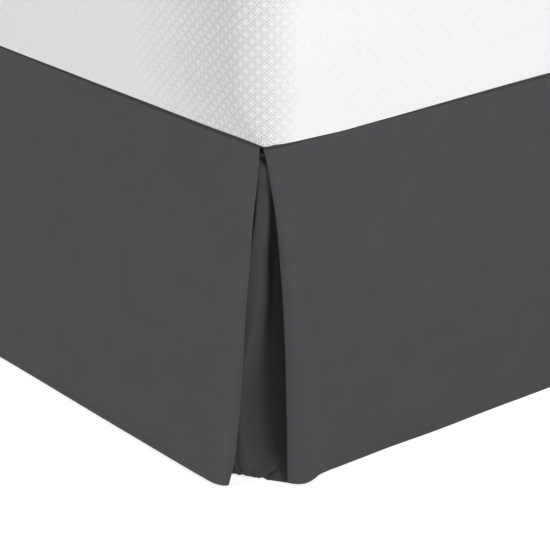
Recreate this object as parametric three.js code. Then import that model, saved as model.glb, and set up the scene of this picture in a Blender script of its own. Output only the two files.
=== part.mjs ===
// Tailored bed skirt with open inverted-pleat corners, hung on a queen-size bed base with its
// mattress. Millimetres, +Z up, origin on the floor under the middle of the bed.
// The foot of the bed faces -Y, its head +Y; the skirt is open at the head.
import * as THREE from 'three';

// ---------------------------------------------------------------- driving dimensions
const SKIRT_WIDTH = 1524;        // between the outer faces of the two side drops, at the top
const SKIRT_LENGTH = 2032;       // nominal, from the outer face of the foot drop to the bed's head
const DROP = 381;                // finished height of the drops, top seam to hem
const HEM_CLEARANCE = 5;         // hem above the floor
const CLOTH = 1.5;               // thickness of the skirt's cloth
const DECK_CLOTH = 2;            // thickness of the deck sheet and its seam
const GAP = 0.3;                 // left between pieces that touch
const HEAD_SETBACK = 6;          // the cloth stops short of the bed's head by this

const SIDE_FLARE = 22;           // the side drops' hem stands out from the top seam by this
const SIDE_FLARE_CURVE = 1.4;    // above 1: the cloth leans out near the top, hangs plumb near the hem
const SIDE_PULL = { depth: 6, reach: 60 };  // the top seam is drawn in towards the corner
const SIDE_SWAY = { depth: 1.2, wave: 640 };  // slow unevenness along the hem
const FOOT_SETIN = { depth: 3.5, along: 110, reach: 220 };  // its hem hangs in, most near the corner
const FOOT_PULL = { depth: 5, reach: 25 };
const FOOT_SWAY = { depth: 0.8, wave: SKIRT_WIDTH / 2.5 };
const INSET_REACH = 130;         // the corner insets run on behind the drops to here
const INSET_GAP = 0.8;           // between an inset and the drop in front of it, at the top
const INSET_HEM_GAP = { side: 7.5, foot: 2.5 };  // and this much more at the hem
const INSET_SETTLE = { side: 15, foot: 12 };  // past a bend it settles behind the drop within this

const MATTRESS = { width: 1528, length: 2040, height: 254, corner: 50 };
// The base's foot corners are rounder, which leaves the folded corner insets room to hang.
const BASE = { width: 1508, length: 2016, height: 226.7, corner: 66, footCorner: 148 };
const RAIL = { x: 700, width: 30, height: 40, length: 1860 };
const CROSS_RAIL = { width: 30, height: 30, spacing: 760 };
const LEG = { radius: 16, footRadius: 24, footHeight: 12 };

const HEM_Z = HEM_CLEARANCE;
const SEAM_Z = HEM_Z + DROP;                        // top of the deck
const DECK_Z = SEAM_Z - DECK_CLOTH;
const DROP_TOP = DROP - DECK_CLOTH - GAP;           // top edge of a drop, above the hem
const BASE_TOP_Z = DECK_Z - GAP;
const BASE_Z = BASE_TOP_Z - BASE.height;
const RAIL_TOP_Z = BASE_Z - GAP;
const CORNER = { x: -SKIRT_WIDTH / 2, y: -SKIRT_LENGTH / 2 };
const HEAD_ALONG = SKIRT_LENGTH - HEAD_SETBACK;     // head end of the cloth, from the foot corner

// Where each drop ends at the corner, by height above the hem: `along` the wall from the corner,
// `roll` the depth by which its end rolls inwards, `length` the stretch over which it does so.
const SIDE_END = [
  { height: 381, along: 14.2, roll: 1.5, length: 8 },
  { height: 340, along: 16.1, roll: 2.4, length: 8.5 },
  { height: 300, along: 19.5, roll: 3.4, length: 10 },
  { height: 250, along: 21.5, roll: 4.5, length: 11.5 },
  { height: 200, along: 24.4, roll: 5.7, length: 13 },
  { height: 150, along: 25.8, roll: 6.8, length: 15 },
  { height: 100, along: 28.5, roll: 8, length: 17 },
  { height: 60, along: 32, roll: 8.8, length: 19 },
  { height: 27, along: 37.1, roll: 9.5, length: 20.5 },
  { height: 0, along: 45, roll: 10, length: 22 },
];
// The foot drop's end rolls round a soft ridge; `ridge` is the height to which the ridge stands
// proud of the drop and `groove` the place along the wall of the shallow valley beside it.
const FOOT_END = [
  { height: 381, along: 4.1, roll: 7, length: 7, ridge: 2, groove: 50 },
  { height: 366, along: 8.4, roll: 7.4, length: 8, ridge: 2.2, groove: 51 },
  { height: 340, along: 13.9, roll: 8, length: 9, ridge: 2.6, groove: 50 },
  { height: 300, along: 21.2, roll: 9, length: 10, ridge: 3.1, groove: 49 },
  { height: 250, along: 26.6, roll: 10, length: 11, ridge: 3.7, groove: 52 },
  { height: 200, along: 31.1, roll: 10.8, length: 11.5, ridge: 4.4, groove: 57.5 },
  { height: 150, along: 34, roll: 11.5, length: 12, ridge: 5, groove: 65 },
  { height: 100, along: 35.6, roll: 12.2, length: 12.2, ridge: 5.7, groove: 74.5 },
  { height: 60, along: 36.5, roll: 12.6, length: 12.3, ridge: 6.2, groove: 82 },
  { height: 27, along: 37, roll: 12.8, length: 12.4, ridge: 6.4, groove: 87 },
  { height: 0, along: 38, roll: 13, length: 12.5, ridge: 6.6, groove: 92 },
];
// The corner inset bends twice: behind the side drop (in from its wall, along from the corner)
// and behind the foot drop. Between the bends it hangs slantwise across the corner.
const INSET_BENDS = [
  { height: 381, sideIn: 8.5, sideAlong: 17, footAlong: 15, footIn: 9, softness: 3 },
  { height: 366, sideIn: 7.3, sideAlong: 18, footAlong: 17, footIn: 10, softness: 3.5 },
  { height: 340, sideIn: 5.8, sideAlong: 19, footAlong: 21, footIn: 11, softness: 4.5 },
  { height: 300, sideIn: 3.8, sideAlong: 22, footAlong: 27, footIn: 12, softness: 6 },
  { height: 250, sideIn: 1.5, sideAlong: 31, footAlong: 31, footIn: 12.3, softness: 7 },
  { height: 200, sideIn: 0.5, sideAlong: 39, footAlong: 35, footIn: 12.5, softness: 8 },
  { height: 150, sideIn: -3, sideAlong: 47, footAlong: 36.5, footIn: 11.3, softness: 9 },
  { height: 100, sideIn: -6, sideAlong: 64, footAlong: 37.5, footIn: 11, softness: 9 },
  { height: 60, sideIn: -8.4, sideAlong: 75, footAlong: 38.6, footIn: 10.8, softness: 9 },
  { height: 27, sideIn: -10.4, sideAlong: 83, footAlong: 39.3, footIn: 10.6, softness: 8 },
  { height: 0, sideIn: -12, sideAlong: 90, footAlong: 40, footIn: 10.5, softness: 7 },
];
const ROW_HEIGHTS = [DROP_TOP, 366, 340, 300, 250, 200, 150, 100, 60, 27, 0];

// ---------------------------------------------------------------- materials
const skirtCloth = new THREE.MeshStandardMaterial({ color: 0x4c4d50, roughness: 0.95, metalness: 0 });
const mattressCover = new THREE.MeshStandardMaterial({ color: 0xf1f1f2, roughness: 0.9, metalness: 0 });
const baseCover = new THREE.MeshStandardMaterial({ color: 0xe4e3df, roughness: 0.9, metalness: 0 });
const frameSteel = new THREE.MeshStandardMaterial({ color: 0x2b2c2e, roughness: 0.5, metalness: 0.6 });

// ---------------------------------------------------------------- the drape, as functions
// One column of a table at a given height, straight between its rows.
function columnAt(table, column, height) {
  const last = table.length - 1;
  if (height >= table[0].height) return table[0][column];
  if (height <= table[last].height) return table[last][column];
  const below = table.findIndex((row) => row.height <= height);
  const upper = table[below - 1];
  const lower = table[below];
  const share = (height - lower.height) / (upper.height - lower.height);
  return lower[column] + share * (upper[column] - lower[column]);
}

const drawnIn = (pull, along, height) => pull.depth * Math.exp(-along / pull.reach) * (height / DROP);

const sway = (wave, along, height) =>
  wave.depth * Math.sin((2 * Math.PI * along) / wave.wave) * (1 - height / DROP);

// How far the face of a drop stands in from its wall, away from its rolled end.
function sideDepth(along, height) {
  const flare = SIDE_FLARE * (1 - (height / DROP) ** SIDE_FLARE_CURVE);
  return drawnIn(SIDE_PULL, along, height) - flare - sway(SIDE_SWAY, along, height);
}

function footDepth(along, height) {
  const { depth, along: middle, reach } = FOOT_SETIN;
  const setIn = depth * Math.exp(-(((along - middle) / reach) ** 2)) * (1 - height / DROP);
  return drawnIn(FOOT_PULL, along, height) + setIn - sway(FOOT_SWAY, along, height);
}

// The soft ridge beside the foot drop's rolled end: full at the end, a shallow groove, then flat.
// Places are shares of the way from the drop's tip (0) to the groove (1).
const RIDGE_CREST = 0.25;
const GROOVE = { at: 1.05, width: 0.18, depth: 0.12 };

function footRidge(along, height) {
  const start = columnAt(FOOT_END, 'along', height);
  const groove = columnAt(FOOT_END, 'groove', height);
  const share = (along - start) / (groove - start);
  const fall = THREE.MathUtils.clamp((share - RIDGE_CREST) / (1 - RIDGE_CREST), 0, 1);
  const valley = GROOVE.depth * Math.exp(-(((share - GROOVE.at) / GROOVE.width) ** 2));
  return columnAt(FOOT_END, 'ridge', height) * (0.5 * (1 + Math.cos(Math.PI * fall)) - valley);
}

// Inward depth of a rolled end at a distance from its tip; `fullness` 2 is an ellipse's quarter.
function rollDepth(distance, roll, length, fullness) {
  const share = THREE.MathUtils.clamp(1 - distance / length, 0, 1);
  return roll * (1 - (1 - share ** fullness) ** (1 / fullness));
}

// Stations of a drop at one height, from its rolled tip along the wall, as { along, depth }.
const ROLL_STEPS = 5;
const NEAR_STEPS = [8, 18, 30, 46, 70];             // past the roll, in mm

function dropEnd(table, depthAt, fullness, height) {
  const tip = columnAt(table, 'along', height);
  const roll = columnAt(table, 'roll', height);
  const length = columnAt(table, 'length', height);
  const stations = [];
  for (let step = 0; step <= ROLL_STEPS; step += 1) {
    const distance = length * (1 - Math.cos((Math.PI / 2) * (step / ROLL_STEPS)));
    const depth = depthAt(tip + distance, height) + rollDepth(distance, roll, length, fullness);
    stations.push({ along: tip + distance, depth });
  }
  for (const step of NEAR_STEPS) {
    const along = tip + length + step;
    stations.push({ along, depth: depthAt(along, height) });
  }
  return stations;
}

const SIDE_FULLNESS = 2;
const FOOT_FULLNESS = 1.5;
const footFace = (along, height) => footDepth(along, height) - footRidge(along, height);
const sideEnd = (height) => dropEnd(SIDE_END, sideDepth, SIDE_FULLNESS, height);
const footEnd = (height) => dropEnd(FOOT_END, footFace, FOOT_FULLNESS, height);

// Plan points, in mm from the left foot corner, x along the foot wall and y along the side wall.
const onSide = ({ along, depth }) => new THREE.Vector2(depth, along);
const onFoot = ({ along, depth }) => new THREE.Vector2(along, depth);

// A side drop's outer face in plan, from its corner end to the head of the bed.
const SIDE_BAYS = 18;

function sidePlan(height) {
  const points = sideEnd(height).map(onSide);
  const start = points[points.length - 1].y;
  for (let bay = 1; bay <= SIDE_BAYS; bay += 1) {
    const along = start + ((HEAD_ALONG - start) * bay) / SIDE_BAYS;
    points.push(onSide({ along, depth: sideDepth(along, height) }));
  }
  return points;
}

// The foot drop's outer face in plan, from the right corner to the left one.
const FOOT_BAYS = 12;

function footPlan(height) {
  const left = footEnd(height).map(onFoot);
  const start = left[left.length - 1].x;
  for (let bay = 1; bay < FOOT_BAYS / 2; bay += 1) {
    const along = start + ((SKIRT_WIDTH / 2 - start) * bay * 2) / FOOT_BAYS;
    left.push(onFoot({ along, depth: footFace(along, height) }));
  }
  const right = left.map((point) => new THREE.Vector2(SKIRT_WIDTH - point.x, point.y));
  return [...right, ...left.reverse()];
}

// A corner inset's outer face in plan: along the foot wall, slantwise, along the side wall.
const LEG_STEPS = 4;
const LEG_CROWDING = 1.5;         // above 1: steps lie closer together near the bend
const SLANT_STEPS = 3;
const BEND_STEPS = 4;
const BEND_SHARE = 0.45;          // the most of a straight stretch that a rounded bend takes up

function bend(corner, from, to, softness) {
  const reachIn = Math.min(softness, corner.distanceTo(from) * BEND_SHARE);
  const reachOut = Math.min(softness, corner.distanceTo(to) * BEND_SHARE);
  const start = corner.clone().add(from.clone().sub(corner).setLength(reachIn));
  const end = corner.clone().add(to.clone().sub(corner).setLength(reachOut));
  return new THREE.QuadraticBezierCurve(start, corner, end).getPoints(BEND_STEPS);
}

function insetPlan(height) {
  const sideIn = columnAt(INSET_BENDS, 'sideIn', height);
  const sideAlong = columnAt(INSET_BENDS, 'sideAlong', height);
  const footAlong = columnAt(INSET_BENDS, 'footAlong', height);
  const footIn = columnAt(INSET_BENDS, 'footIn', height);
  const softness = columnAt(INSET_BENDS, 'softness', height);
  const lowering = 1 - height / DROP;
  const behindFoot = (along) => {
    const rest = footDepth(along, height) + CLOTH + INSET_GAP + INSET_HEM_GAP.foot * lowering;
    return rest + (footIn - rest) * Math.exp(-(along - footAlong) / INSET_SETTLE.foot);
  };
  const behindSide = (along) => {
    const rest = sideDepth(along, height) + CLOTH + INSET_GAP + INSET_HEM_GAP.side * lowering;
    return rest + (sideIn - rest) * Math.exp(-(along - sideAlong) / INSET_SETTLE.side);
  };
  const leg = (bendAlong, depthAt, place) => {
    const points = [];
    for (let step = 0; step < LEG_STEPS; step += 1) {
      const share = (1 - step / LEG_STEPS) ** LEG_CROWDING;
      const along = bendAlong + (INSET_REACH - bendAlong) * share;
      points.push(place({ along, depth: depthAt(along) }));
    }
    return points;
  };
  const footLeg = leg(footAlong, behindFoot, onFoot);
  const sideLeg = leg(sideAlong, behindSide, onSide);
  const footBend = new THREE.Vector2(footAlong, footIn);
  const sideBend = new THREE.Vector2(sideIn, sideAlong);
  const footTurn = bend(footBend, footLeg[LEG_STEPS - 1], sideBend, softness);
  const sideTurn = bend(sideBend, footBend, sideLeg[LEG_STEPS - 1], softness);
  const slant = [];
  for (let step = 1; step < SLANT_STEPS; step += 1) {
    slant.push(footTurn[BEND_STEPS].clone().lerp(sideTurn[0], step / SLANT_STEPS));
  }
  return [...footLeg, ...footTurn, ...slant, ...sideTurn, ...sideLeg.reverse()];
}

// ---------------------------------------------------------------- solids
function solid(name, positions, indices, material) {
  const geometry = new THREE.BufferGeometry();
  geometry.setAttribute('position', new THREE.Float32BufferAttribute(positions, 3));
  geometry.setIndex(indices);
  geometry.computeVertexNormals();
  const mesh = new THREE.Mesh(geometry, material);
  mesh.name = name;
  return mesh;
}

// The same plan points moved inwards by the cloth's thickness, square to the run of the cloth.
// Walking the plan forwards, the inside of the bed lies on the right.
function innerPlan(plan) {
  return plan.map((point, index) => {
    const before = plan[Math.max(index - 1, 0)];
    const after = plan[Math.min(index + 1, plan.length - 1)];
    const run = after.clone().sub(before).normalize();
    return new THREE.Vector2(point.x + run.y * CLOTH, point.y - run.x * CLOTH);
  });
}

// A closed thin sheet hung from its top row: an outer and an inner skin joined round the rim.
// `mirrored` builds it at the other corner of the bed.
function hungSheet(name, planAt, mirrored) {
  const rows = ROW_HEIGHTS.length;
  const columns = planAt(0).length;
  const positions = [];
  const place = (point, height) => {
    const x = CORNER.x + point.x;
    positions.push(mirrored ? -x : x, CORNER.y + point.y, HEM_Z + height);
  };
  const plans = ROW_HEIGHTS.map(planAt);
  plans.forEach((plan, row) => plan.forEach((point) => place(point, ROW_HEIGHTS[row])));
  plans.forEach((plan, row) => innerPlan(plan).forEach((point) => place(point, ROW_HEIGHTS[row])));
  const outer = (row, column) => row * columns + column;
  const inner = (row, column) => rows * columns + row * columns + column;
  const indices = [];
  const quad = (a, b, c, d) => {
    if (mirrored) indices.push(a, c, b, a, d, c);
    else indices.push(a, b, c, a, c, d);
  };
  for (let row = 0; row < rows - 1; row += 1) {
    for (let column = 0; column < columns - 1; column += 1) {
      const [next, beside] = [row + 1, column + 1];
      quad(outer(row, column), outer(row, beside), outer(next, beside), outer(next, column));
      quad(inner(row, column), inner(next, column), inner(next, beside), inner(row, beside));
    }
    const end = columns - 1;
    quad(outer(row, 0), outer(row + 1, 0), inner(row + 1, 0), inner(row, 0));
    quad(outer(row, end), inner(row, end), inner(row + 1, end), outer(row + 1, end));
  }
  for (let column = 0; column < columns - 1; column += 1) {
    const bottom = rows - 1;
    quad(outer(0, column), inner(0, column), inner(0, column + 1), outer(0, column + 1));
    quad(outer(bottom, column), outer(bottom, column + 1), inner(bottom, column + 1), inner(bottom, column));
  }
  return solid(name, positions, indices, skirtCloth);
}

// A closed body through level loops of equal point counts, lowest first, counter-clockwise.
function loftSolid(name, loops, heights, material) {
  const count = loops[0].length;
  const positions = [];
  loops.forEach((loop, level) => loop.forEach((point) => positions.push(point.x, point.y, heights[level])));
  const indices = [];
  for (let level = 0; level < loops.length - 1; level += 1) {
    for (let step = 0; step < count; step += 1) {
      const next = (step + 1) % count;
      const [low, high] = [level * count, (level + 1) * count];
      indices.push(low + step, low + next, high + next, low + step, high + next, high + step);
    }
  }
  const cap = (level, upward) => {
    for (const [a, b, c] of THREE.ShapeUtils.triangulateShape(loops[level], [])) {
      const base = level * count;
      indices.push(base + a, base + (upward ? b : c), base + (upward ? c : b));
    }
  };
  cap(0, false);
  cap(loops.length - 1, true);
  return solid(name, positions, indices, material);
}

const CORNER_STEPS = 6;

function roundedRectangle(width, length, headRadius, footRadius = headRadius) {
  const loop = [];
  for (let quarter = 0; quarter < 4; quarter += 1) {
    const signX = quarter === 0 || quarter === 3 ? 1 : -1;
    const signY = quarter < 2 ? 1 : -1;
    const radius = signY > 0 ? headRadius : footRadius;
    for (let step = 0; step <= CORNER_STEPS; step += 1) {
      const angle = (Math.PI / 2) * (quarter + step / CORNER_STEPS);
      const x = signX * (width / 2 - radius) + radius * Math.cos(angle);
      const y = signY * (length / 2 - radius) + radius * Math.sin(angle);
      loop.push(new THREE.Vector2(x, y));
    }
  }
  return loop;
}

// ---------------------------------------------------------------- the skirt
// The deck lies on the bed base under the mattress; its edge follows the top of the drops and
// bridges the opening between them at each corner.
const DECK_CORNER = [new THREE.Vector2(8.2, 5.6), new THREE.Vector2(6.6, 7.6)];

function makeDeck() {
  const past = (point) => point.x > DECK_CORNER[0].x + CLOTH && point.x < SKIRT_WIDTH / 2;
  const half = [...footPlan(DROP_TOP).filter(past), ...DECK_CORNER, ...sidePlan(DROP_TOP)];
  const placed = half.map((point) => new THREE.Vector2(CORNER.x + point.x, CORNER.y + point.y));
  const mirrored = placed.map((point) => new THREE.Vector2(-point.x, point.y)).reverse();
  const outline = [...placed, ...mirrored].reverse();
  return loftSolid('deck', [outline, outline], [DECK_Z, SEAM_Z], skirtCloth);
}

function makeSkirt() {
  const skirt = new THREE.Group();
  skirt.add(makeDeck());
  skirt.add(hungSheet('side_drop_left', sidePlan, false));
  skirt.add(hungSheet('side_drop_right', sidePlan, true));
  skirt.add(hungSheet('foot_drop', footPlan, false));
  skirt.add(hungSheet('corner_inset_left', insetPlan, false));
  skirt.add(hungSheet('corner_inset_right', insetPlan, true));
  return skirt;
}

// ---------------------------------------------------------------- the bed under it
// Sections of the mattress: its sides stand plumb between rounded top and bottom edges, and its
// bottom is squarer at the corners, where its own weight presses it out.
const MATTRESS_SECTIONS = [
  { height: 0, setIn: 5, corner: 14 },
  { height: 2, setIn: 1.5, corner: 17 },
  { height: 6, setIn: 0, corner: 21 },
  { height: 22, setIn: 0, corner: 36 },
  { height: 48, setIn: 0, corner: MATTRESS.corner },
  { height: 222, setIn: 0, corner: MATTRESS.corner },
  { height: 238, setIn: 3, corner: MATTRESS.corner },
  { height: 248, setIn: 10, corner: MATTRESS.corner },
  { height: MATTRESS.height, setIn: 24, corner: MATTRESS.corner },
];

function makeMattress() {
  const loops = MATTRESS_SECTIONS.map(({ setIn, corner }) =>
    roundedRectangle(MATTRESS.width - 2 * setIn, MATTRESS.length - 2 * setIn, corner));
  const heights = MATTRESS_SECTIONS.map(({ height }) => SEAM_Z + GAP + height);
  return loftSolid('mattress', loops, heights, mattressCover);
}

const BASE_SECTIONS = [
  { height: 0, setIn: 5 },
  { height: 5, setIn: 0 },
  { height: BASE.height - 6, setIn: 0 },
  { height: BASE.height, setIn: 6 },
];

function makeBase() {
  const loops = BASE_SECTIONS.map(({ setIn }) =>
    roundedRectangle(BASE.width - 2 * setIn, BASE.length - 2 * setIn,
      BASE.corner - setIn, BASE.footCorner - setIn));
  return loftSolid('box_spring', loops, BASE_SECTIONS.map(({ height }) => BASE_Z + height), baseCover);
}

function makeBar(name, width, length, height, x, y) {
  const bar = new THREE.Mesh(new THREE.BoxGeometry(width, length, height), frameSteel);
  bar.name = name;
  bar.position.set(x, y, RAIL_TOP_Z - height / 2);
  return bar;
}

// A turned leg with a broad foot, standing on the floor and ending just under its rail.
function makeLeg(name, x, y, topZ) {
  const { radius, footRadius, footHeight } = LEG;
  const profile = [
    [0, 0],
    [footRadius - 1.5, 0],
    [footRadius, 1.5],
    [footRadius, footHeight - 3],
    [radius, footHeight],
    [radius, topZ],
    [0, topZ],
  ].map(([r, z]) => new THREE.Vector2(r, z));
  const leg = new THREE.Mesh(new THREE.LatheGeometry(profile, 16), frameSteel);
  leg.name = name;
  leg.rotation.x = Math.PI / 2;
  leg.position.set(x, y, 0);
  return leg;
}

function makeFrame() {
  const frame = new THREE.Group();
  const sides = [['left', -1], ['middle', 0], ['right', 1]];
  const rows = [['foot', -1], ['centre', 0], ['head', 1]];
  const crossLength = 2 * (RAIL.x - RAIL.width / 2 - GAP);
  frame.add(makeBar('rail_left', RAIL.width, RAIL.length, RAIL.height, -RAIL.x, 0));
  frame.add(makeBar('rail_right', RAIL.width, RAIL.length, RAIL.height, RAIL.x, 0));
  for (const [row, signY] of rows) {
    const y = signY * CROSS_RAIL.spacing;
    frame.add(makeBar(`cross_rail_${row}`, crossLength, CROSS_RAIL.width, CROSS_RAIL.height, 0, y));
    for (const [side, signX] of sides) {
      const railHeight = signX === 0 ? CROSS_RAIL.height : RAIL.height;
      frame.add(makeLeg(`leg_${side}_${row}`, signX * RAIL.x, y, RAIL_TOP_Z - railHeight - GAP));
    }
  }
  return frame;
}

const bed = new THREE.Group();
bed.add(makeSkirt());
bed.add(makeMattress());
bed.add(makeBase());
bed.add(makeFrame());

export default bed;
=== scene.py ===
# %% [markdown]
# # A tailored bed skirt, hung on its bed
#
# A tailored bed skirt is a flat deck sheet that lies between the mattress and the bed base, with
# three straight drops sewn round its edge: one down each side and one across the foot. Where a side
# drop and the foot drop meet, the corner is left open and a third piece of cloth, the corner inset,
# hangs behind the opening. This lesson makes those six pieces of cloth, the mattress and the base
# that carry them, and the steel frame underneath.
#
# The CAD frame is loaded first. It fixes every main size and place, so that only the drape and the
# finishes are left to be shaped here.

# %% Load the frame
import math

import bpy
import numpy as np
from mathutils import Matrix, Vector


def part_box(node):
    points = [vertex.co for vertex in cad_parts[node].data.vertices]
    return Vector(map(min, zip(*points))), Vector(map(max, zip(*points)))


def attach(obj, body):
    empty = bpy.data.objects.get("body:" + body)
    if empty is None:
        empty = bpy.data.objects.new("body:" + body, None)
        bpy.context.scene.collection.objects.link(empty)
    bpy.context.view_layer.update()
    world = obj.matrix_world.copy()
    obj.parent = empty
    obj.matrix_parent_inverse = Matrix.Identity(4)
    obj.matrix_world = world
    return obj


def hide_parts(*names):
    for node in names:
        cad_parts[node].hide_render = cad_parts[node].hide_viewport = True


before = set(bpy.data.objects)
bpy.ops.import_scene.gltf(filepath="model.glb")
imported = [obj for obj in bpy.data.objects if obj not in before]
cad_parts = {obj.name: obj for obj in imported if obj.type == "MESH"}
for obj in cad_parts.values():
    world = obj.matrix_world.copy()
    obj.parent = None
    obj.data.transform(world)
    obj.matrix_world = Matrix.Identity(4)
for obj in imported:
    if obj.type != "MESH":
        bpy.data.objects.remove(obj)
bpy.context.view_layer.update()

# %% [markdown]
# ## Camera
#
# A bed skirt shows best from near one foot corner, a little above the mattress. A wide lens close
# by would bend the bed's long edges together, so this is a long lens from farther off. The camera
# is made first, because the view decides how fine each piece has to be: here one millimetre of
# cloth is about one pixel.

# %% Camera
CAMERA_PLACE = (-2.0327, -2.5840, 1.0776)
CAMERA_TILT = math.radians(67.8)
CAMERA_TURN = math.radians(-39.33)
CAMERA_LENS_MM = 142.88
SENSOR_MM = 36

camera_data = bpy.data.cameras.new("camera")
camera_data.sensor_width = SENSOR_MM
camera_data.lens = CAMERA_LENS_MM
camera = bpy.data.objects.new("camera", camera_data)
camera.location = CAMERA_PLACE
camera.rotation_euler = (CAMERA_TILT, 0, CAMERA_TURN)
bpy.context.collection.objects.link(camera)
bpy.context.scene.camera = camera
print("camera looks down by", round(90 - math.degrees(CAMERA_TILT), 1), "degrees")

# %% [markdown]
# ## Sizes
#
# The sizes below are in millimetres, the unit of a cutting plan. The main ones are read from the
# frame's own boxes. The drape is described in "corner coordinates": `along` is measured from the
# foot corner along a wall of the bed, `depth` inwards from that wall, and `height` above the hem.

# %% Sizes from the frame
MM = 1000.0                       # millimetres in one of Blender's metres


def box_mm(node):
    """A CAD node's lowest and highest corners in millimetres."""
    low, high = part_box(node)
    return np.array(low) * MM, np.array(high) * MM


deck_high = box_mm("deck")[1]
HEM_Z = box_mm("side_drop_left")[0][2]
SEAM_Z = deck_high[2]
HALF_WIDTH = deck_high[0]
HEAD_Y = deck_high[1]
FOOT_Y = -1016.0                  # the nominal face of the foot drop
DROP = SEAM_Z - HEM_Z             # from the hem to the top of the deck
DROP_TOP = box_mm("side_drop_left")[1][2] - HEM_Z    # from the hem to the drop's own upper edge
HEAD_ALONG = HEAD_Y - FOOT_Y
SKIRT_WIDTH = 2 * HALF_WIDTH
CLOTH = 1.2                       # thickness of the brushed cloth
HEM_CLOTH = 2.2                   # thickness where the hem is turned up twice
HEM_LINE = 7.0                    # the hem's line of stitches, above its edge
print("drop", round(DROP), "mm, width", round(SKIRT_WIDTH), "mm, length", round(HEAD_ALONG), "mm")

# %% [markdown]
# ## Mesh helpers
#
# Every piece is a grid of points: rows up the cloth and columns along it. `build` turns points and
# faces into a Blender object. `smooth_curve` draws a curve through a few chosen values, so that a
# short table can describe a drape, and `smooth_step` fades one shape into the next.

# %% Helpers for points and objects
def build(name, points, faces, material, uv=None):
    """A smooth-shaded mesh object from points in millimetres; `uv` holds a pair for each corner."""
    mesh = bpy.data.meshes.new(name)
    mesh.from_pydata((np.asarray(points, float) / MM).tolist(), [], faces)
    mesh.shade_smooth()
    if uv is not None:
        layer = mesh.uv_layers.new(name="cloth")
        layer.data.foreach_set("uv", (np.asarray(uv, float) / MM).ravel())
    mesh.materials.append(material)
    mesh.validate()
    piece = bpy.data.objects.new(name, mesh)
    bpy.context.collection.objects.link(piece)
    print(name, len(mesh.polygons), "faces")
    return piece


def smooth_curve(knots, values, places):
    """A smooth curve through (knot, value) pairs, held level past both ends."""
    knots = np.asarray(knots, float)
    values = np.asarray(values, float)
    slopes = np.gradient(values, knots)
    places = np.clip(places, knots[0], knots[-1])
    left = np.clip(np.searchsorted(knots, places) - 1, 0, len(knots) - 2)
    gap = knots[left + 1] - knots[left]
    t = (places - knots[left]) / gap
    start = values[left] * (1 + 2 * t) * (1 - t) ** 2 + slopes[left] * gap * t * (1 - t) ** 2
    end = values[left + 1] * (3 - 2 * t) * t**2 - slopes[left + 1] * gap * t**2 * (1 - t)
    return start + end


def column(table, name, height):
    """One column of a table at any height above the hem."""
    return smooth_curve(table["height"], table[name], height)


def smooth_step(value):
    """0 below 0, 1 above 1, and an easy slope between them."""
    share = np.clip(value, 0, 1)
    return share * share * (3 - 2 * share)


print("a quarter of the way along, a smooth step has risen by", smooth_step(0.25))

# %% [markdown]
# ### Cloth with a thickness
#
# A sheet of cloth could be a bare surface, thickened by a modifier. Here its inner face and its rim
# are made point by point instead, since the hems are thicker than the rest and a cut edge of
# brushed cloth is softly round. The sheet also gets its own flat coordinates, in which a pattern or
# a pressed fold can be drawn.

# %% The sheet builder
RIM_ROUND = 0.8                   # how far the rim stands out, as a share of half the thickness


def grid_faces(rows, columns, start=0, flip=False):
    """The quads of a grid of points numbered row by row."""
    faces = []
    for row in range(rows - 1):
        for step in range(columns - 1):
            a = start + row * columns + step
            quad = (a, a + 1, a + columns + 1, a + columns)
            faces.append(quad[::-1] if flip else quad)
    return faces


def rim_of(rows, columns):
    """The points round a grid's edge, as (row, column) pairs in order."""
    bottom = [(0, c) for c in range(columns)]
    right = [(r, columns - 1) for r in range(1, rows)]
    top = [(rows - 1, c) for c in range(columns - 2, -1, -1)]
    left = [(r, 0) for r in range(rows - 2, 0, -1)]
    return bottom + right + top + left


def flat_places(outer):
    """How far each point lies along and up the cloth, measured on its outer face."""
    run = np.linalg.norm(np.diff(outer, axis=1), axis=2)
    climb = np.linalg.norm(np.diff(outer, axis=0), axis=2)
    across = np.pad(np.cumsum(run, axis=1), ((0, 0), (1, 0)))
    up = np.pad(np.cumsum(climb, axis=0), ((1, 0), (0, 0)))
    return np.stack([across, up], axis=2).reshape(-1, 2)


def cloth_sheet(name, outer, thickness, facing, material):
    """A closed thin sheet with a soft round rim. `outer` is its outer face, rows from the hem up."""
    rows, columns = outer.shape[:2]
    thick = np.broadcast_to(thickness, (rows, columns))[..., None]
    normal = np.cross(np.gradient(outer, axis=1), np.gradient(outer, axis=0))
    normal /= np.linalg.norm(normal, axis=2, keepdims=True)
    flip = (normal.mean(axis=(0, 1)) @ np.array(facing, float)) < 0
    if flip:
        normal = -normal
    inner = outer - normal * thick

    edge = rim_of(rows, columns)
    at_row, at_column = np.array(edge).T
    middle = (outer + inner) / 2
    out = middle[at_row, at_column]
    out = out - middle[np.clip(at_row, 1, rows - 2), np.clip(at_column, 1, columns - 2)]
    out /= np.linalg.norm(out, axis=1, keepdims=True)
    rim = middle[at_row, at_column] + out * (thick[at_row, at_column] / 2) * RIM_ROUND

    count = rows * columns
    points = np.concatenate([outer.reshape(-1, 3), inner.reshape(-1, 3), rim])
    faces = grid_faces(rows, columns, 0, flip) + grid_faces(rows, columns, count, not flip)
    for step, (r, c) in enumerate(edge):
        after = (step + 1) % len(edge)
        here = r * columns + c
        there = edge[after][0] * columns + edge[after][1]
        rim_here, rim_there = 2 * count + step, 2 * count + after
        front = (here, rim_here, rim_there, there)
        back = (count + here, count + there, rim_there, rim_here)
        faces.append(front[::-1] if flip else front)
        faces.append(back[::-1] if flip else back)

    flat = flat_places(outer)
    flat = np.concatenate([flat, flat, flat[at_row * columns + at_column]])
    return build(name, points, faces, material, flat[np.array(faces).ravel()])


# %% [markdown]
# ## Finishes
#
# Each finish is a small node tree on the Principled shader. Colours are written as sRGB hex codes,
# the way a dye chart gives them, and one function turns them into the linear values that Blender
# works in. One more function adds a node of any kind, with its settings and its links. A node can
# stand for its first output, which is nearly always the one that is wanted.

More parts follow.
